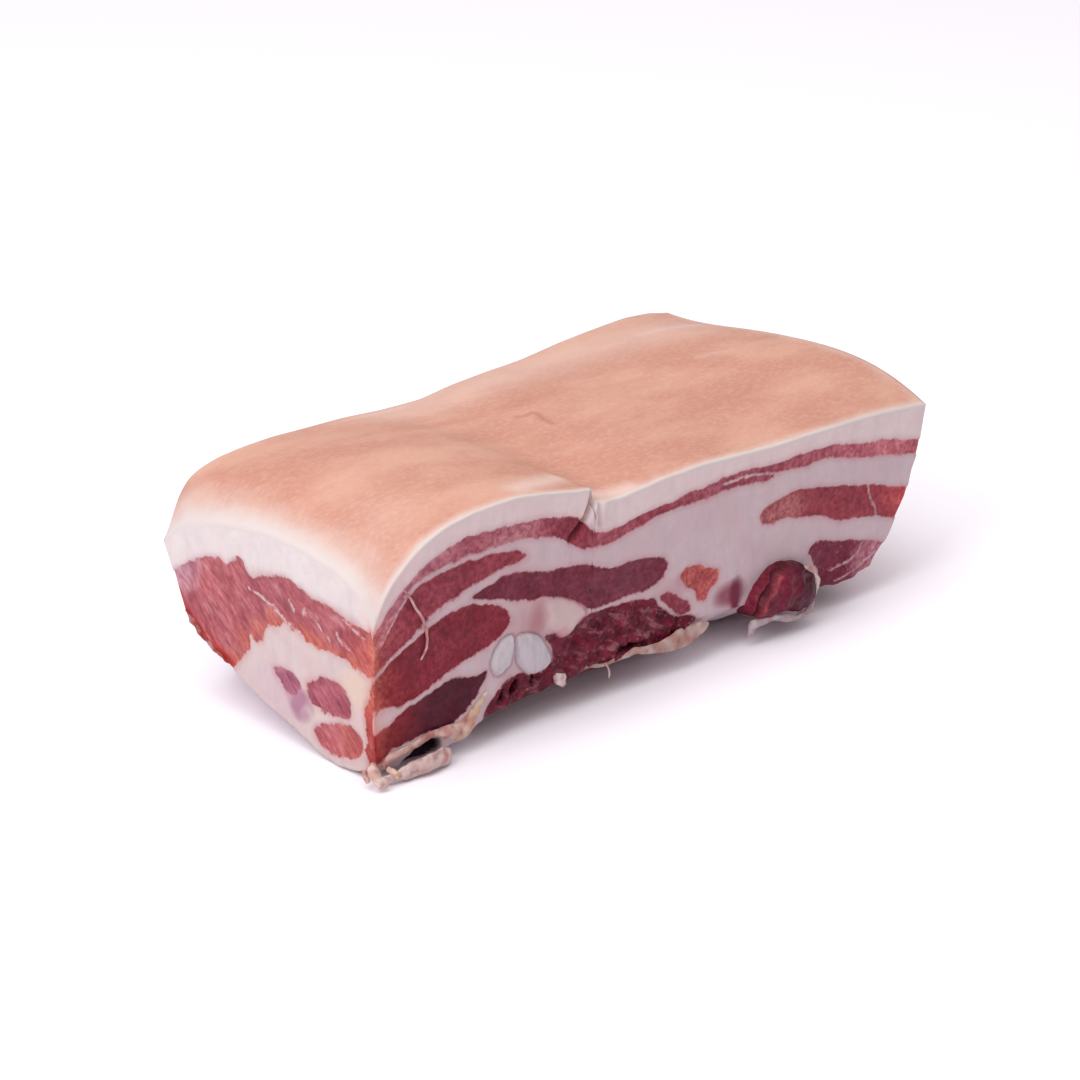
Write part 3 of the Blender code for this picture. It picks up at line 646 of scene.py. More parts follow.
def paint(mesh, points):
    """Works out where each vertex lies in lean or fat, and stores it with its colours."""
    stray = sum(wander(points, wave) * size for wave, size in STRAYS)
    x, y, z = (points + stray).T
    a, b = on_near_face(x, y, z)
    end_share = fall(x - LEFT, END_REACH) * np.clip((y - NEAR) / END_BLEND, 0, 1)
    lean, flesh, marbled, ragged = near_pattern(a, b, x, y)
    end_lean, end_flesh, end_marbled = end_pattern(y, z, x)
    ends = end_share[:, None]
    lean = lean * (1 - end_share) + end_lean * end_share
    flesh = flesh * (1 - ends) + end_flesh * ends
    marbled = marbled * (1 - end_share) + end_marbled * end_share
    gristle = np.maximum(inside(RIB_TIP_LEFT, a, b), inside(RIB_TIP_RIGHT, a, b))
    knob = inside(KNOB_OF_FAT, a, b) - end_share * KNOB_BACK
    lean = np.minimum(lean, -gristle)
    corner = np.exp(-(x - LEFT) / CORNER_WIDTH) * np.exp(-(y - NEAR) / CORNER_WIDTH)
    tinge(flesh, corner * 0.9, CORNER_ORANGE)
    tinge(flesh, corner * np.clip((CORNER_LOW - z) / CORNER_LOW_BLEND, 0, 1), CORNER_RED)

    depth = top_height(points[:, 0], points[:, 1]) - points[:, 2]
    cap_share = np.clip(1 - (cap_floor(x, y) - z) / CAP_BLEND, 0, 1)[:, None]
    tallow = linear(SOFT_FAT) * (1 - cap_share) + linear(BACK_FAT) * cap_share
    end_tallow = linear(END_FAT) * (1 - cap_share) + linear(END_BACK_FAT) * cap_share
    tallow = tallow * (1 - ends) + end_tallow * ends
    patch(tallow, a, b, KNOB_STAIN, 1 - end_share)
    tinge(tallow, np.clip((knob + 0.0005) / 0.002, 0, 1) * 0.8, KNOB_FAT)
    # A thin reddish dark line round the knob's lower right edge: painted shade in the crease where the
    # dome meets the flat fat.
    right_side = np.clip((a - KNOB_RIGHT) / KNOB_RIGHT_BLEND, 0, 1)
    knob_rim_shade = np.exp(-((knob + KNOB_RIM_HALF / 2) / KNOB_RIM_HALF) ** 2)
    tinge(tallow, knob_rim_shade * right_side * 0.6, KNOB_RIM_SHADE)
    # This includes painted shade at the left edge of the knob.
    patch(tallow, a, b, FAT_PATCHES_AND_SHADE, 1 - end_share)
    patch(tallow, a, b, LUMP_STAIN, fall(y - NEAR, LUMP_STAIN_REACH))
    mauve = blot(y, z, MAUVE_PLACE, MAUVE_REACH) * (1.3 + wander(points, 0.004)[:, 0])
    tinge(tallow, mauve * end_share * 0.9, MAUVE)
    patch(tallow, y, z, END_FAT_PATCHES, end_share)
    tinge(tallow, corner * 0.6, CORNER_FAT)
    # Along the knife's slit the fat is tinged orange, and the lean is darkened as painted shade inside the
    # slit.
    slit = np.exp(-(to_line(np.array(SLIT) * MM, a, b) / SLIT_STAIN_HALF) ** 2)
    slit *= y < NEAR + SLIT_STAIN_INWARD
    tinge(tallow, slit * 0.8, SLIT_FAT)
    tinge(flesh, slit * 0.8, SLIT_SHADE_RED)
    tinge(tallow, np.clip(1 + lean / FAT_BY_LEAN_REACH, 0, 1) * 0.3, FAT_BY_LEAN)
    hollow = np.full(len(a), -1.0)
    for outline in HOLLOWS:
        hollow = np.maximum(hollow, inside(outline, a, b))
    hollow = np.minimum(hollow, NEAR + HOLLOW_INWARD - y)
    # The hollows are darkened near to black: painted shade in the recesses.
    for colours in (flesh, tallow):
        tinge(colours, (hollow + 0.0008) / 0.0012, PAINTED_HOLLOW_SHADE)
    store(mesh, "lean", np.clip(lean / MM, -FARTHEST, FARTHEST))
    store(mesh, "gristle", np.clip(gristle / MM, -FARTHEST, FARTHEST))
    store(mesh, "ragged", ragged)
    store(mesh, "marbled", marbled)
    store(mesh, "depth", depth / MM)
    store(mesh, "end", end_share)
    store(mesh, "flesh", flesh)
    store(mesh, "tallow", tallow)
    return lean, ragged, gristle, knob, hollow


LEAN_SINK = 0.0004
LEAN_STEP = 0.0008
RAGGED_WAVE = 0.0035
RAGGED_SWELL = 0.0018
RAGGED_FINE_WAVE = 0.0015
RAGGED_FINE_SWELL = 0.0006
RIB_SWELL = 0.0018
RIB_GROOVE = 0.0009
RIB_GROOVE_HALF = 0.0007
KNOB_SWELL = 0.0022
KNOB_WAVE = 0.007
ROUND_REACH = 0.004
HOLLOW_DEPTH = 0.0045
HOLLOW_SLOPE = 0.0015


def relief(points, lean, ragged, gristle, knob, hollow):
    """Sinks the lean below the fat at the cut faces, rounds the rib tips and tears the rest."""
    x, y, z = points.T
    out = np.stack([np.exp(-(RIGHT - x) / 0.02) - np.exp(-(x - LEFT) / 0.0015),
                    np.exp(-(far_edge(x) - y) / 0.008) - np.exp(-(y - NEAR) / 0.0015),
                    np.zeros(len(x))], axis=1)
    size = np.clip(np.linalg.norm(out, axis=1, keepdims=True), 1, None)
    height = -np.clip(lean / LEAN_STEP + 0.5, 0, 1) * LEAN_SINK
    broad = wander(points, RAGGED_WAVE)[:, 0]
    fine = wander(points, RAGGED_FINE_WAVE)[:, 0]
    height += (broad * RAGGED_SWELL + fine * RAGGED_FINE_SWELL) * ragged
    height += np.sqrt(np.clip(gristle / ROUND_REACH, 0, 1)) * RIB_SWELL
    height -= np.exp(-(gristle / RIB_GROOVE_HALF) ** 2) * RIB_GROOVE
    height -= np.clip((hollow + 0.0005) / HOLLOW_SLOPE, 0, 1) * HOLLOW_DEPTH
    bumps = 0.55 + wander(points, KNOB_WAVE)[:, 1]
    height += np.sqrt(np.clip(knob / ROUND_REACH, 0, 1)) * KNOB_SWELL * bumps
    return out / size * height[:, None]


TORN_EDGE = 0.0016
TORN_WAVE = 0.006
TORN_HEIGHT = 0.003
TORN_INWARD = 0.012
TORN_ENDS = 0.02
TORN_FADE = 0.01


def torn_edge(points):
    """How far the lower edge of the meat is torn out of line."""
    x, y, z = points.T
    low = np.exp(-np.clip(z - under_height(x, y), 0, None) / TORN_HEIGHT)
    low *= np.exp(-np.clip(y - NEAR, 0, None) / TORN_INWARD)
    low *= np.clip((RIGHT - TORN_ENDS - x) / TORN_FADE, 0, 1)
    return wander(points, TORN_WAVE) * TORN_EDGE * low[:, None]


meat = cut_block("cut_meat", across=120, deep=56, rows=22, fine_sides=3)
mark_seam(meat, 1)
u, v, w = coordinates(meat.data).T
meat_places = np.stack(slab_place(u, v, seam_share(u, v) * w), axis=1)

for thing, places in ((cap, cap_places), (meat, meat_places)):
    found = paint(thing.data, places)
    inward = nick_cut(places)[:, None] * np.array([[0, 1, 0]])
    places = places + unevenness(places) + relief(places, *found) + torn_edge(places) + inward
    places[:, 2] = np.clip(places[:, 2], 0, None)
    move_to(thing.data, places)
    thing.data.shade_smooth()

# Faint marks of the rind: a line in millimetres, half its width, and how pale or red it is.
SKIN_MARKS = [
    ([(-30, 50), (30, 49), (112, 43)], 15.0, 0.6),
    ([(-116, -50), (-104, -42)], 12.0, 0.25),
    ([(-2.9, 8.9), (-0.9, 7), (3, 7.6), (3.5, 5.2), (1.2, 0), (0.5, -5.2)], 1.2, -0.9),
    ([(84, 9), (90, 8), (96, 5)], 2.0, 0.35),
    ([(90, 46), (117, 43)], 2.5, 0.35),
    ([(-60, -55), (-46, -51), (-36, -48)], 4.5, 1.1),
    ([(-27, -57), (-14, -59)], 3.5, 1.2),
    ([(-118, 44), (-110, 36)], 4.0, -0.5),
    ([(-53, 47), (-18, 52)], 1.5, 0.4),
    ([(-60, 20), (-20, 24), (30, 16)], 3.0, -0.25),
    ([(20, -30), (60, -26), (100, -30)], 3.0, -0.2),
]
FAR_FROM_RIM = 30.0


def mark_on_skin(points):
    """Where the rind was scraped pale, above 0, and where it was scratched red, below 0."""
    x, y, _ = points.T
    mark = np.zeros(len(x))
    for line, half, strength in SKIN_MARKS:
        away = to_line(np.array(line) * MM, x, y) / (half * MM)
        mark += strength * np.exp(-away ** 2)
    return mark


store(cap.data, "skin", on_skin)
store(cap.data, "mark", mark_on_skin(cap_places))
store(cap.data, "rim", cap_rim / MM)
for name, value in (("skin", 0.0), ("mark", 0.0), ("rim", FAR_FROM_RIM)):
    store(meat.data, name, np.full(len(meat.data.vertices), value))


def add(tree, kind, **settings):
    made = tree.nodes.new(kind)
    for name, value in settings.items():
        setattr(made, name, value)
    return made


def feed(tree, socket, value):
    """Links an output to a socket, or sets the socket's own value."""
    if isinstance(value, bpy.types.NodeSocket):
        tree.links.new(value, socket)
    else:
        socket.default_value = value


def figure(tree, operation, first, second=0.0, third=0.0, clamp=False):
    made = add(tree, "ShaderNodeMath", operation=operation, use_clamp=clamp)
    for socket, value in zip(made.inputs, (first, second, third)):
        feed(tree, socket, value)
    return made.outputs[0]


def times(tree, first, second, clamp=False):
    return figure(tree, "MULTIPLY", first, second, clamp=clamp)


def mixed(tree, share, first, second, kind="MIX"):
    made = add(tree, "ShaderNodeMix", data_type="RGBA", blend_type=kind)
    feed(tree, made.inputs["Factor"], share)
    for name, value in (("A", first), ("B", second)):
        socket = next(s for s in made.inputs if s.name == name and s.type == "RGBA")
        feed(tree, socket, value if isinstance(value, bpy.types.NodeSocket) else (*value, 1))
    return next(s for s in made.outputs if s.type == "RGBA")


def towards(tree, share, first, colour):
    """Brings a colour towards one given as 0 to 255."""
    return mixed(tree, share, first, tuple(linear(colour)))


def tinted(tree, colour, tint):
    return mixed(tree, 1.0, colour, tint, "MULTIPLY")


def between(tree, share, first, second):
    made = add(tree, "ShaderNodeMix", data_type="FLOAT")
    feed(tree, made.inputs["Factor"], share)
    feed(tree, made.inputs[2], first)
    feed(tree, made.inputs[3], second)
    return made.outputs[0]


def step(tree, value, low, high):
    """0 below a low value, 1 above a high one, and smooth between them."""
    made = add(tree, "ShaderNodeMapRange", interpolation_type="SMOOTHSTEP")
    feed(tree, made.inputs["Value"], value)
    feed(tree, made.inputs["From Min"], low)
    feed(tree, made.inputs["From Max"], high)
    return made.outputs["Result"]


def placed(tree, size, stretch=(1, 1, 1), turn=(0, 0, 0)):
    """Places on the piece in steps of a size in metres, turned and stretched."""
    places = add(tree, "ShaderNodeTexCoord").outputs["Object"]
    turned = add(tree, "ShaderNodeMapping", vector_type="TEXTURE")
    feed(tree, turned.inputs["Vector"], places)
    feed(tree, turned.inputs["Rotation"], turn)
    feed(tree, turned.inputs["Scale"], tuple(size * s for s in stretch))
    return turned.outputs["Vector"]


def grain(tree, size, detail=3.0, stretch=(1, 1, 1), turn=(0, 0, 0), roughness=0.55):
    """Noise with bumps about a size apart."""
    made = add(tree, "ShaderNodeTexNoise")
    feed(tree, made.inputs["Vector"], placed(tree, size, stretch, turn))
    feed(tree, made.inputs["Scale"], 1.0)
    feed(tree, made.inputs["Detail"], detail)
    feed(tree, made.inputs["Roughness"], roughness)
    return made.outputs["Fac"]


def kept(tree, name, output="Fac"):
    return add(tree, "ShaderNodeAttribute", attribute_name=name).outputs[output]


# The size in metres of the grain that shows in each tissue, and how it is turned or drawn out.
FIBRE_TURN = (math.radians(38), 0, 0)
SHRED_TURN = (0, math.radians(20), 0)
NEAR_FIBRE = 0.0016
END_FIBRE = 0.0014
END_FIBRE_STRETCH = (1, 4, 1)
FLESH_PATCH = 0.009
STRAND = 0.0034
STRAND_STRETCH = (1, 2.6, 1)
SPECK = 0.0012
PIT = 0.0030
BLOOD_AND_GLINT = 0.0042
SHRED = 0.0036
SHRED_STRETCH = (2.2, 1, 0.8)
LOBULE = 0.0035
PINK_PATCH = 0.014
DRAWN_FAT = 0.0045
EDGE_FIBRE = 0.0014
EDGE_TOOTH = 0.0032
EDGE_TOOTH_STRETCH = (1, 1.6, 1)
FLUTE = 0.003
FLUTE_STRETCH = (0.7, 1, 3)
MOTTLE = 0.026
SKIN_PORE = 0.0015
RIM_PATCH = 0.012
RIM_FINE = 0.006
RIND_GRAIN = 0.004
WET_SPOT = 0.006

# Tints that multiply the colour under them, then colours as 0 to 255.
DARK_FIBRE = (0.76, 0.60, 0.68)
LIGHT_FIBRE = (1.22, 1.50, 1.40)
DIM_FLESH = (0.76, 0.62, 0.70)
PINKER = (0.96, 0.88, 0.89)
GREYER = (0.90, 0.91, 0.94)
DIMMER = (0.83, 0.83, 0.83)
MARBLING = (214, 158, 162)
# Painted shade in the pits of the torn lean, then bright red for wet blood and painted glints.
PIT_SHADE_RED = (56, 10, 26)
BLOOD_AND_GLINT_RED = (150, 34, 58)
SHRED_PINK = (196, 132, 140)
GRISTLE = (206, 196, 202)
GRISTLE_BLUE = (196, 182, 190)
GRISTLE_RIM = (176, 108, 116)
SKIN_DARK = (202, 141, 122)
SKIN_LIGHT = (217, 163, 143)
SKIN_FINE = (224, 178, 160)
SKIN_SCRAPED = (234, 206, 196)
SKIN_SCRATCHED = (176, 98, 88)
SKIN_PALE = (224, 196, 187)
SKIN_WHITE = (221, 208, 206)


def belly_finish():
    material = bpy.data.materials.new("raw_belly")
    material.use_nodes = True
    tree = material.node_tree
    shader = tree.nodes["Principled BSDF"]
    end = kept(tree, "end")

    # Lean: fibres seen end on at the long face and slanting on the short one, with marbling.
    near_fibre = grain(tree, NEAR_FIBRE, 4)
    end_fibre = grain(tree, END_FIBRE, 4, END_FIBRE_STRETCH, FIBRE_TURN)
    fibre = between(tree, times(tree, end, 0.8), near_fibre, end_fibre)
    flesh = kept(tree, "flesh", "Color")
    darker = tinted(tree, flesh, DARK_FIBRE)
    lighter = tinted(tree, flesh, LIGHT_FIBRE)
    flesh = mixed(tree, step(tree, fibre, 0.32, 0.70), darker, lighter)
    patches = step(tree, grain(tree, FLESH_PATCH, 4), 0.62, 0.36)
    flesh = mixed(tree, patches, flesh, tinted(tree, flesh, DIM_FLESH))
    strands = step(tree, grain(tree, STRAND, 4, STRAND_STRETCH, FIBRE_TURN), 0.56, 0.74)
    specks = step(tree, grain(tree, SPECK, 3), 0.60, 0.78)
    lines = between(tree, end, specks, strands)
    lines = times(tree, lines, times(tree, kept(tree, "marbled"), 0.7))
    flesh = towards(tree, lines, flesh, MARBLING)

    # Torn lean: dark pits painted as shade, bright red patches for wet blood with painted glints, and pale
    # shreds of membrane.
    ragged = kept(tree, "ragged")
    pits = times(tree, step(tree, grain(tree, PIT, 4), 0.50, 0.32), ragged)
    flesh = towards(tree, times(tree, pits, 0.75), flesh, PIT_SHADE_RED)
    blood_and_glints = times(tree, step(tree, grain(tree, BLOOD_AND_GLINT, 3), 0.50, 0.70), ragged)
    flesh = towards(tree, times(tree, blood_and_glints, 0.55), flesh, BLOOD_AND_GLINT_RED)
    shreds = step(tree, grain(tree, SHRED, 5, SHRED_STRETCH, SHRED_TURN), 0.52, 0.68)
    shreds = times(tree, times(tree, shreds, ragged), 0.42)
    flesh = towards(tree, shreds, flesh, SHRED_PINK)

    # Fat: faintly pink, with soft lobules.
    lumps = grain(tree, LOBULE, 3)
    tallow = kept(tree, "tallow", "Color")
    pinker = tinted(tree, tallow, PINKER)
    tallow = mixed(tree, step(tree, grain(tree, PINK_PATCH, 4), 0.42, 0.75), tallow, pinker)
    tallow = mixed(tree, times(tree, step(tree, lumps, 0.62, 0.36), 0.5), tallow, pinker)
    grey = tinted(tree, tallow, GREYER)
    drawn = step(tree, grain(tree, DRAWN_FAT, 3, (1, 1, 3)), 0.42, 0.72)
    tallow = mixed(tree, times(tree, drawn, 0.7), tallow, grey)

    # Where lean meets fat the edge is broken by the fibres.
    broken = figure(tree, "SUBTRACT", grain(tree, EDGE_FIBRE, 4), 0.5)
    edge = figure(tree, "MULTIPLY_ADD", broken, 1.6, kept(tree, "lean"))
    teeth = grain(tree, EDGE_TOOTH, 3, EDGE_TOOTH_STRETCH, FIBRE_TURN)
    teeth = times(tree, figure(tree, "SUBTRACT", teeth, 0.5), 3.6)
    edge = figure(tree, "MULTIPLY_ADD", teeth, end, edge)
    in_lean = step(tree, edge, -0.35, 0.55)
    colour = mixed(tree, in_lean, tallow, flesh)

    # Rib tips of bluish gristle.
    gristle = kept(tree, "gristle")
    fluted = step(tree, grain(tree, FLUTE, 2, FLUTE_STRETCH), 0.3, 0.6)
    bluish = towards(tree, fluted, tuple(linear(GRISTLE_BLUE)), GRISTLE)
    in_rib = step(tree, gristle, -0.2, 0.35)
    colour = mixed(tree, in_rib, colour, bluish)
    rib_rim = step(tree, figure(tree, "ABSOLUTE", figure(tree, "ADD", gristle, 0.2)), 0.9, 0.0)
    colour = towards(tree, times(tree, rib_rim, 0.22), colour, GRISTLE_RIM)

    # The skin: peach, mottled along its length, paler towards the cut edges.
    mottle = grain(tree, MOTTLE, 4, (1.8, 1, 1), roughness=0.6)
    peach = towards(tree, step(tree, mottle, 0.36, 0.68), tuple(linear(SKIN_DARK)), SKIN_LIGHT)
    fine = grain(tree, SKIN_PORE, 4, (1.5, 1, 1))
    peach = towards(tree, times(tree, step(tree, fine, 0.4, 0.74), 0.4), peach, SKIN_FINE)
    mark = kept(tree, "mark")
    peach = towards(tree, times(tree, mark, 0.6, clamp=True), peach, SKIN_SCRAPED)
    peach = towards(tree, times(tree, mark, -0.55, clamp=True), peach, SKIN_SCRATCHED)
    rim = kept(tree, "rim")
    pale = figure(tree, "MULTIPLY_ADD", grain(tree, RIM_PATCH, 3), 9.0, rim)
    peach = towards(tree, step(tree, pale, 19.0, 3.5), peach, SKIN_PALE)
    whiter = figure(tree, "MULTIPLY_ADD", grain(tree, RIM_FINE, 3), 4.0, rim)
    peach = towards(tree, step(tree, whiter, 8.5, 2.0), peach, SKIN_WHITE)

    # The cut edge of the skin shows as a thin line down to about a millimetre and a half.
    depth = kept(tree, "depth")
    deep = figure(tree, "MULTIPLY_ADD", grain(tree, RIND_GRAIN, 2), 0.9, depth)
    rind = times(tree, step(tree, deep, 1.9, 1.0), step(tree, depth, 4.0, 3.0))
    is_skin = figure(tree, "MAXIMUM", kept(tree, "skin"), times(tree, rind, 0.75))
    colour = mixed(tree, is_skin, colour, peach)
    feed(tree, shader.inputs["Base Color"], tinted(tree, colour, DIMMER))

    # Gristle and wet lean shine, fat and skin are duller.
    wet = step(tree, grain(tree, WET_SPOT, 3), 0.40, 0.62)
    rough = between(tree, in_lean, 0.48, between(tree, wet, 0.5, 0.32))
    rough = between(tree, in_rib, rough, 0.22)
    rough = between(tree, is_skin, rough, 0.52)
    feed(tree, shader.inputs["Roughness"], rough)
    height = between(tree, in_lean, times(tree, lumps, 1.6), times(tree, fibre, 0.7))
    height = between(tree, is_skin, height, times(tree, fine, 0.8))
    bump = add(tree, "ShaderNodeBump")
    feed(tree, bump.inputs["Height"], height)
    feed(tree, bump.inputs["Strength"], 0.35)
    feed(tree, bump.inputs["Distance"], 0.0006)
    feed(tree, shader.inputs["Normal"], bump.outputs["Normal"])
    shader.inputs["Specular IOR Level"].default_value = 0.15
    shader.inputs["Subsurface Weight"].default_value = 0.12
    shader.inputs["Subsurface Radius"].default_value = (0.003, 0.0012, 0.0008)
    shader.inputs["Subsurface Scale"].default_value = 1.0
    return material


# What the finish reads from a small piece that is all lean or all fat.
SMALL_PIECE = {"gristle": -5.0, "ragged": 0.0, "depth": 30.0, "end": 0.0, "skin": 0.0,
               "rim": FAR_FROM_RIM, "mark": 0.0}
SMALL_KINDS = {"lean": {"lean": 5.0, "marbled": 0.1}, "fat": {"lean": -5.0, "marbled": 0.0}}


def finish_small(thing, kind, flesh, tallow):
    """Gives a small piece the same finish, all lean or all fat."""
    count = len(thing.data.vertices)
    for name, value in (SMALL_PIECE | SMALL_KINDS[kind]).items():
        store(thing.data, name, np.full(count, value))
    store(thing.data, "flesh", np.broadcast_to(flesh, (count, 3)))
    store(thing.data, "tallow", np.broadcast_to(tallow, (count, 3)))
    thing.data.materials.append(finish)


finish = belly_finish()
for thing in (cap, meat):
    thing.data.materials.append(finish)
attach(cap, "root")
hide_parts("rind_and_back_fat")
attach(meat, "root")
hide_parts("upper_lean", "belly_fat", "main_lean", "lower_lean", "dark_lean",
            "ragged_lean", "flank_band", "flank_lean", "small_lean", "end_lean_middle",
            "end_lean_low", "end_lean_small", "rib_tip_left", "rib_tip_right")


# The hanging lump of lean
# A scrap of dark muscle that was cut loose from the lower edge and hangs by its membrane.

LUMP = [(37, 13), (39.6, 19.4), (44.5, 24.6), (51.5, 26.6), (59.6, 26), (65, 21.6), (68, 15.5),
        (68.2, 9.5), (65.5, 5.6), (57, 7.4), (47, 9.4), (39.6, 8.2)]
LUMP_FRONT = -0.0685
LUMP_WAIST = -0.060
LUMP_BACK = -0.042
LUMP_BULGE = 0.002
LUMP_INSETS = [(0.003, 0.002), (0.005, 0.0015)]
LUMP_FACE = -0.058
LUMP_FACE_BLEND = 0.004
LUMP_RED = (140, 44, 66)
LUMP_DARK = (88, 24, 44)
LUMP_RIGHT = 0.050
LUMP_RIGHT_BLEND = 0.010
LUMP_RIGHT_RED = (80, 20, 38)
LUMP_PATCHES = [((62, 10), (6, 6), 0.6, (118, 62, 84)), ((66, 7), (3, 3), 1, (190, 112, 88))]
# The knife's slit in the lump is cut in and darkened near to black as painted shade.
LUMP_SLIT = [(38.6, 8.6), (39.8, 15), (43.2, 21), (48, 24.6), (54, 26)]
LUMP_SLIT_HALF = 0.0008
LUMP_SLIT_DEPTH = 0.0018
LUMP_SLIT_SHADE = (74, 8, 18)
# The seam beside the slit is raised a little and painted light pink as a painted highlight.
LUMP_SEAM = [(40.4, 8.8), (41.6, 14.6), (44.6, 19.8), (49, 23.2)]
LUMP_SEAM_HALF = 0.0006
LUMP_SEAM_HEIGHT = 0.0002
LUMP_SEAM_HIGHLIGHT = (190, 92, 92)
RIDGE_WAVE = 0.0045
RIDGE_STRETCH = (1, 1, 0.5)
RIDGE_SWELL = 0.0008

bpy.ops.object.select_all(action="DESELECT")
bpy.ops.mesh.primitive_circle_add(vertices=len(LUMP), radius=0.01, fill_type="NGON")
lump = bpy.context.object
lump.name = lump.data.name = "lump_of_lean"
for corner, (x, z) in zip(lump.data.vertices, LUMP):
    corner.co = (x * MM, LUMP_FRONT + LUMP_BULGE, z * MM)
bpy.ops.object.mode_set(mode="EDIT")
bpy.ops.mesh.select_all(action="SELECT")
to_back = LUMP_BACK - LUMP_FRONT - LUMP_BULGE
bpy.ops.mesh.extrude_region_move(TRANSFORM_OT_translate={"value": (0, to_back, 0)})
bpy.ops.mesh.select_all(action="SELECT")
bpy.ops.mesh.normals_make_consistent(inside=False)
bpy.ops.mesh.bisect(plane_co=(0, LUMP_WAIST, 0), plane_no=(0, 1, 0))
bpy.ops.object.mode_set(mode="OBJECT")
choose(lump, lambda n: n.y < -0.9)
bpy.ops.object.mode_set(mode="EDIT")
for thickness, depth in LUMP_INSETS:
    bpy.ops.mesh.inset(thickness=thickness, depth=depth)
bpy.ops.object.mode_set(mode="OBJECT")
bpy.ops.object.modifier_add(type="SUBSURF")
lump.modifiers[0].levels = lump.modifiers[0].render_levels = 4
bpy.ops.object.modifier_apply(modifier=lump.modifiers[0].name)

places = coordinates(lump.data)
x, y, z = places.T
front = np.clip((LUMP_FACE - y) / LUMP_FACE_BLEND, 0, 1)
slit = np.exp(-(to_line(np.array(LUMP_SLIT) * MM, x, z) / LUMP_SLIT_HALF) ** 2)
seam = np.exp(-(to_line(np.array(LUMP_SEAM) * MM, x, z) / LUMP_SEAM_HALF) ** 2)
ridges = wander(places * RIDGE_STRETCH, RIDGE_WAVE)[:, 0] * RIDGE_SWELL
ridges -= slit * LUMP_SLIT_DEPTH
ridges += seam * LUMP_SEAM_HEIGHT
places = places + wander(places, 0.006) * 0.001 + wander(places, 0.002) * 0.0003
places[:, 1] -= ridges * front
move_to(lump.data, places)
lump.data.shade_smooth()

x, _, z = places.T
lump_flesh = np.tile(linear(LUMP_RED), (len(places), 1))
tinge(lump_flesh, wander(places, 0.008)[:, 1], LUMP_DARK)
tinge(lump_flesh, (x - LUMP_RIGHT) / LUMP_RIGHT_BLEND, LUMP_RIGHT_RED)
patch(lump_flesh, x, z, LUMP_PATCHES)
# Painted shade in the slit.
tinge(lump_flesh, slit * front * 0.9, LUMP_SLIT_SHADE)
# Painted highlight along the raised seam.
tinge(lump_flesh, seam * front * 0.6, LUMP_SEAM_HIGHLIGHT)
finish_small(lump, "lean", lump_flesh, linear(SOFT_FAT))
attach(lump, "root")
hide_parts("hanging_lump")


# The torn membranes
# Scraps of the skin that lined the belly and of the fat under it, which the knife left along
# the lower edge. They hang on by their own ends, and one long tongue lies on the table.

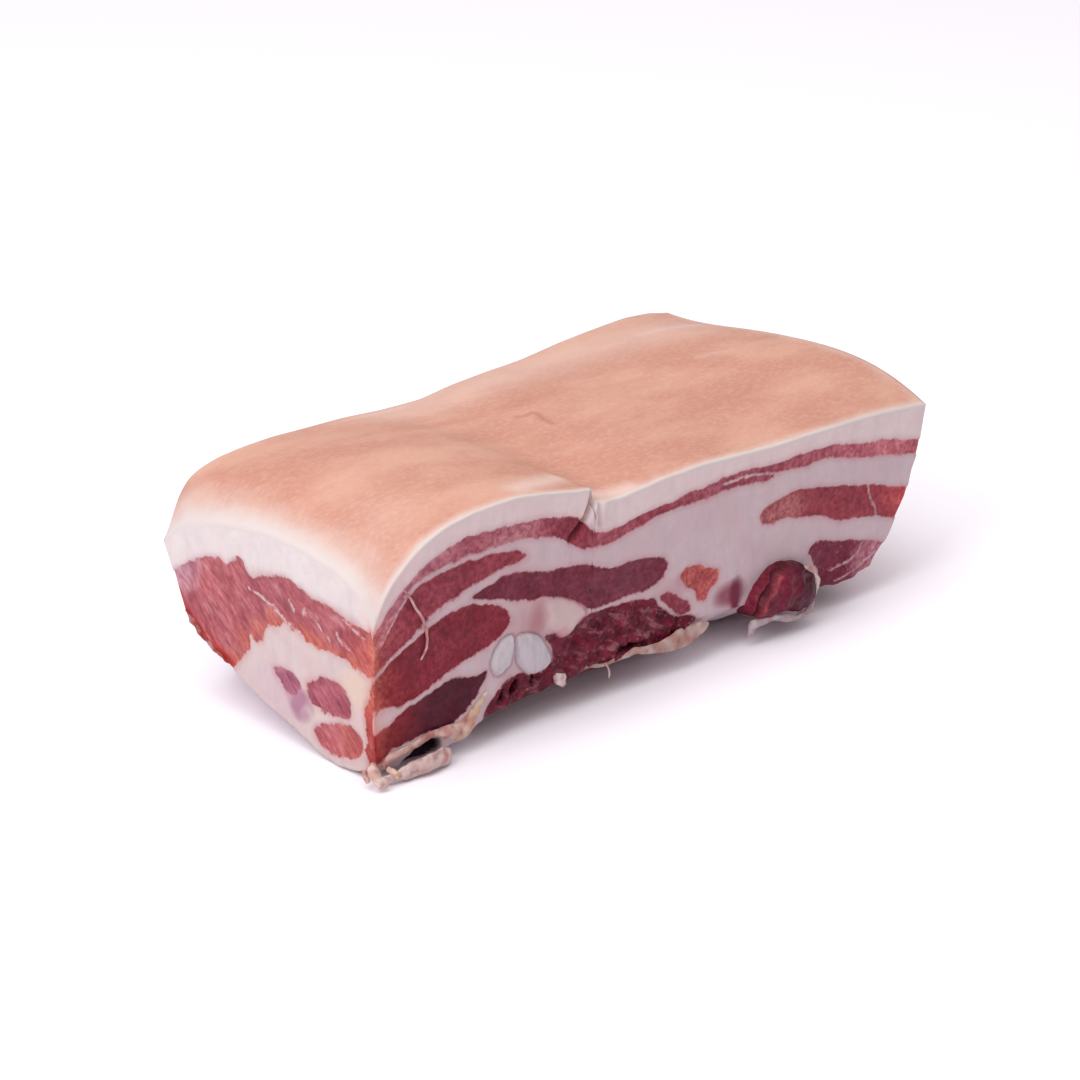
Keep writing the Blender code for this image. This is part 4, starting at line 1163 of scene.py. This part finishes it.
# Each scrap by its places and half thickness in millimetres, how flat it lies, and its colour.
SCRAPS = {
    "tongue": ([(-123, -63, 2.4, 1.0), (-117, -65.6, 3.2, 2.5), (-109, -67, 3.8, 3.1),
                (-102, -66.6, 3.8, 3.2), (-98, -65.4, 3.2, 2.4), (-96.4, -64.4, 3, 0.9)],
               0.45, (224, 196, 190)),
    "lining": ([(-122.6, -62.2, 6.2, 0.7), (-118, -62.7, 8.2, 0.9), (-112, -62.9, 9.4, 1.0),
                (-106, -62.9, 10.6, 1.2), (-101, -62.7, 11, 1.5), (-96, -62.5, 9.6, 2.3),
                (-91, -62.4, 9, 2.8), (-87, -62.2, 11, 2.0), (-84, -62, 14, 1.0)],
               0.5, (220, 180, 170)),
    "fold": ([(-93, -62.6, 7, 1.2), (-89.5, -63.2, 8.4, 1.8), (-87, -63, 11, 1.5),
              (-83.5, -62.6, 14.4, 1.3), (-79.6, -62.2, 18.4, 0.8)],
             0.8, (214, 184, 160)),
    "corner_curl": ([(-125.4, -61.6, 8, 0.9), (-127, -63.6, 5.4, 1.6), (-126.2, -65.8, 3, 1.9),
                     (-124, -66.6, 1.8, 1.2)],
                    1.0, (226, 196, 184)),
    "corner_tip": ([(-126.2, -59, 5.6, 0.5), (-128, -60.2, 4.6, 0.9), (-128, -62, 2.6, 0.8)],
                   1.0, (226, 196, 188)),
    "corner_rag": ([(-121.4, -63.4, 6, 0.7), (-120, -65.4, 4.4, 1.1), (-119.6, -66.8, 2.4, 0.8)],
                   1.0, (228, 196, 176)),
    "lip": ([(-39, -61.8, 12.9, 0.4), (-26, -62.1, 12.7, 0.6), (-14, -62.2, 12.5, 1.0),
             (-5, -62.6, 11.2, 2.1), (2, -63, 11.2, 3.5), (9, -63, 12, 3.9),
             (15, -62.6, 12.6, 2.8), (19.6, -61.8, 12.4, 0.9)],
            0.3, (190, 158, 148)),
    "globule": ([(-50, -61.8, 15.4, 0.9), (-48, -62.8, 13.4, 2.0), (-46.8, -62.6, 11.4, 1.2)],
                0.8, (226, 206, 206)),
    "edge_shred": ([(-124.2, 35.5, 28.4, 0.4), (-124.7, 31, 25.4, 0.9), (-124.9, 25, 22.2, 1.1),
                    (-124.8, 18.5, 19.4, 1.0), (-124.3, 11, 16.8, 0.4)],
                   1.0, (150, 40, 34)),
    "thread": ([(-112.8, -62.2, 64, 0.35), (-109.1, -62.4, 57.9, 0.45), (-104.9, -62.4, 50.3, 0.5),
                (-103.4, -62.4, 45.3, 0.45), (-104, -62.3, 40.9, 0.4), (-106.2, -62.1, 37.5, 0.3)],
               1.0, (206, 150, 150)),
    "fibre": ([(-27, -62, 12.6, 0.35), (-26.4, -62.8, 9.6, 0.3), (-26.8, -63.2, 7.4, 0.2)],
              1.0, (220, 196, 190)),
    "lump_rim": ([(60, -66.4, 23.6, 0.5), (63.6, -67, 21.6, 0.9), (66.4, -67.2, 18.6, 1.0),
                  (67.4, -67, 15, 0.9), (67, -66.6, 11.6, 0.6)],
                 0.8, (214, 198, 190)),
    "lump_hem": ([(67.6, -65.6, 8.8, 0.9), (63, -67, 6.2, 1.3), (56, -67.6, 7.2, 1.1),
                  (48, -67, 8.6, 1.2), (42, -66, 8.4, 1.6), (38.6, -65, 6.4, 1.8),
                  (37.4, -64.6, 3.2, 1.0)],
                 0.8, (186, 170, 176)),
}
# Creases of a scrap at full size: how far apart, how they are stretched, and how strong.
FULL_SIZE = 1.5
CREASE = 0.0009
CREASES = [(0.0022, (0.35, 1, 1), 1.0), (0.006, (0.5, 1, 1), 1.0), (0.0016, (1, 1, 1), 0.2)]
SCRAP_STAIN = (178, 96, 86)
SCRAP_PALE = (236, 220, 216)
SCRAP_SPOTS = (150, 84, 82)

for name, (route, flatness, tone) in SCRAPS.items():
    line = bpy.data.curves.new(name, "CURVE")
    line.dimensions = "3D"
    line.bevel_depth = MM
    line.bevel_resolution = 7
    line.use_fill_caps = True
    line.resolution_u = 16
    spline = line.splines.new("BEZIER")
    spline.bezier_points.add(len(route) - 1)
    for point, (x, y, z, half) in zip(spline.bezier_points, route):
        point.co = (x * MM, y * MM, z * MM)
        point.radius = half
        point.handle_left_type = point.handle_right_type = "AUTO"
    scrap = bpy.data.objects.new(name, line)
    bpy.context.collection.objects.link(scrap)
    bpy.ops.object.select_all(action="DESELECT")
    scrap.select_set(True)
    bpy.context.view_layer.objects.active = scrap
    bpy.ops.object.convert(target="MESH")
    scrap = bpy.context.object
    bpy.ops.object.mode_set(mode="EDIT")
    bpy.ops.mesh.select_all(action="SELECT")
    bpy.ops.mesh.remove_doubles(threshold=TINY)
    bpy.ops.mesh.normals_make_consistent(inside=False)
    bpy.ops.object.mode_set(mode="OBJECT")
    places = coordinates(scrap.data)
    if flatness < 1:
        xs, ys = zip(*sorted((x * MM, y * MM) for x, y, _, _ in route))
        middle = np.interp(places[:, 0], xs, ys)
        places[:, 1] = middle + (places[:, 1] - middle) * flatness
    share = min(1.0, max(half for _, _, _, half in route) / FULL_SIZE)
    for wave, stretch, strength in CREASES:
        places += wander(places * stretch, wave) * CREASE * strength * share
    places[:, 2] = np.clip(places[:, 2], 0, None)
    move_to(scrap.data, places)
    scrap.data.shade_smooth()
    tallow = np.tile(linear(tone), (len(places), 1))
    stain = wander(places, 0.004)[:, 0]
    tinge(tallow, stain * 1.1, SCRAP_STAIN)
    tinge(tallow, -stain * 0.9, SCRAP_PALE)
    tinge(tallow, wander(places, 0.0018)[:, 1] * 0.9, SCRAP_SPOTS)
    finish_small(scrap, "fat", linear(LUMP_RED), tallow)
    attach(scrap, "root")


# The table, the light and the camera
# A plain white studio table under broad soft lights, seen at the photograph's angle.

TABLE_SIZE = 6
TABLE_WHITE = (0.96, 0.91, 0.97, 1)
STUDIO_WHITE = (1, 1, 1, 1)
HORIZON_LIGHT = 0.10
OVERHEAD_LIGHT = 0.9

bpy.ops.object.select_all(action="DESELECT")
bpy.ops.mesh.primitive_plane_add(size=TABLE_SIZE, location=(0, 0, 0))
floor = bpy.context.object
floor.name = floor.data.name = "floor"
white = bpy.data.materials.new("white_table")
white.use_nodes = True
shader = white.node_tree.nodes["Principled BSDF"]
shader.inputs["Base Color"].default_value = TABLE_WHITE
shader.inputs["Roughness"].default_value = 0.6
floor.data.materials.append(white)

# The studio is dim at the height of the table and bright overhead.
world = bpy.data.worlds.new("studio")
bpy.context.scene.world = world
world.use_nodes = True
background = world.node_tree.nodes["Background"]
background.inputs["Color"].default_value = STUDIO_WHITE
direction = add(world.node_tree, "ShaderNodeTexCoord").outputs["Generated"]
parts = add(world.node_tree, "ShaderNodeSeparateXYZ")
feed(world.node_tree, parts.inputs[0], direction)
overhead = step(world.node_tree, parts.outputs["Z"], 0.08, 0.6)
strength = between(world.node_tree, overhead, HORIZON_LIGHT, OVERHEAD_LIGHT)
feed(world.node_tree, background.inputs["Strength"], strength)

SLAB_MIDDLE = Vector((0, 0, 0.04))


def softbox(name, place, wide, power):
    bpy.ops.object.light_add(type="AREA", location=place)
    lamp = bpy.context.object
    lamp.name = name
    lamp.data.shape = "RECTANGLE"
    lamp.data.size = lamp.data.size_y = wide
    lamp.data.energy = power
    lamp.rotation_euler = (SLAB_MIDDLE - Vector(place)).to_track_quat("-Z", "Y").to_euler()


softbox("left_softbox", (-1.1, -0.15, 0.9), 0.8, 9)
softbox("top_softbox", (-0.25, 0.1, 1.55), 1.2, 10)

VIEW_TURN = math.radians(-42)
VIEW_RISE = math.radians(22.5)
VIEW_DISTANCE = 1.225
VIEW_TARGET = Vector((-0.0056, -0.006, 0.033))
LENS = 120
SENSOR = 36
back = Vector((math.sin(VIEW_TURN) * math.cos(VIEW_RISE),
               -math.cos(VIEW_TURN) * math.cos(VIEW_RISE), math.sin(VIEW_RISE)))
bpy.ops.object.camera_add(location=VIEW_TARGET + back * VIEW_DISTANCE)
camera = bpy.context.object
camera.name = "camera"
camera.rotation_euler = (-back).to_track_quat("-Z", "Y").to_euler()
camera.data.lens = LENS
camera.data.sensor_width = SENSOR
camera.data.clip_start = 0.01
camera.data.clip_end = 20
scene = bpy.context.scene
scene.camera = camera
scene.view_settings.view_transform = "Standard"
scene.view_settings.look = "None"
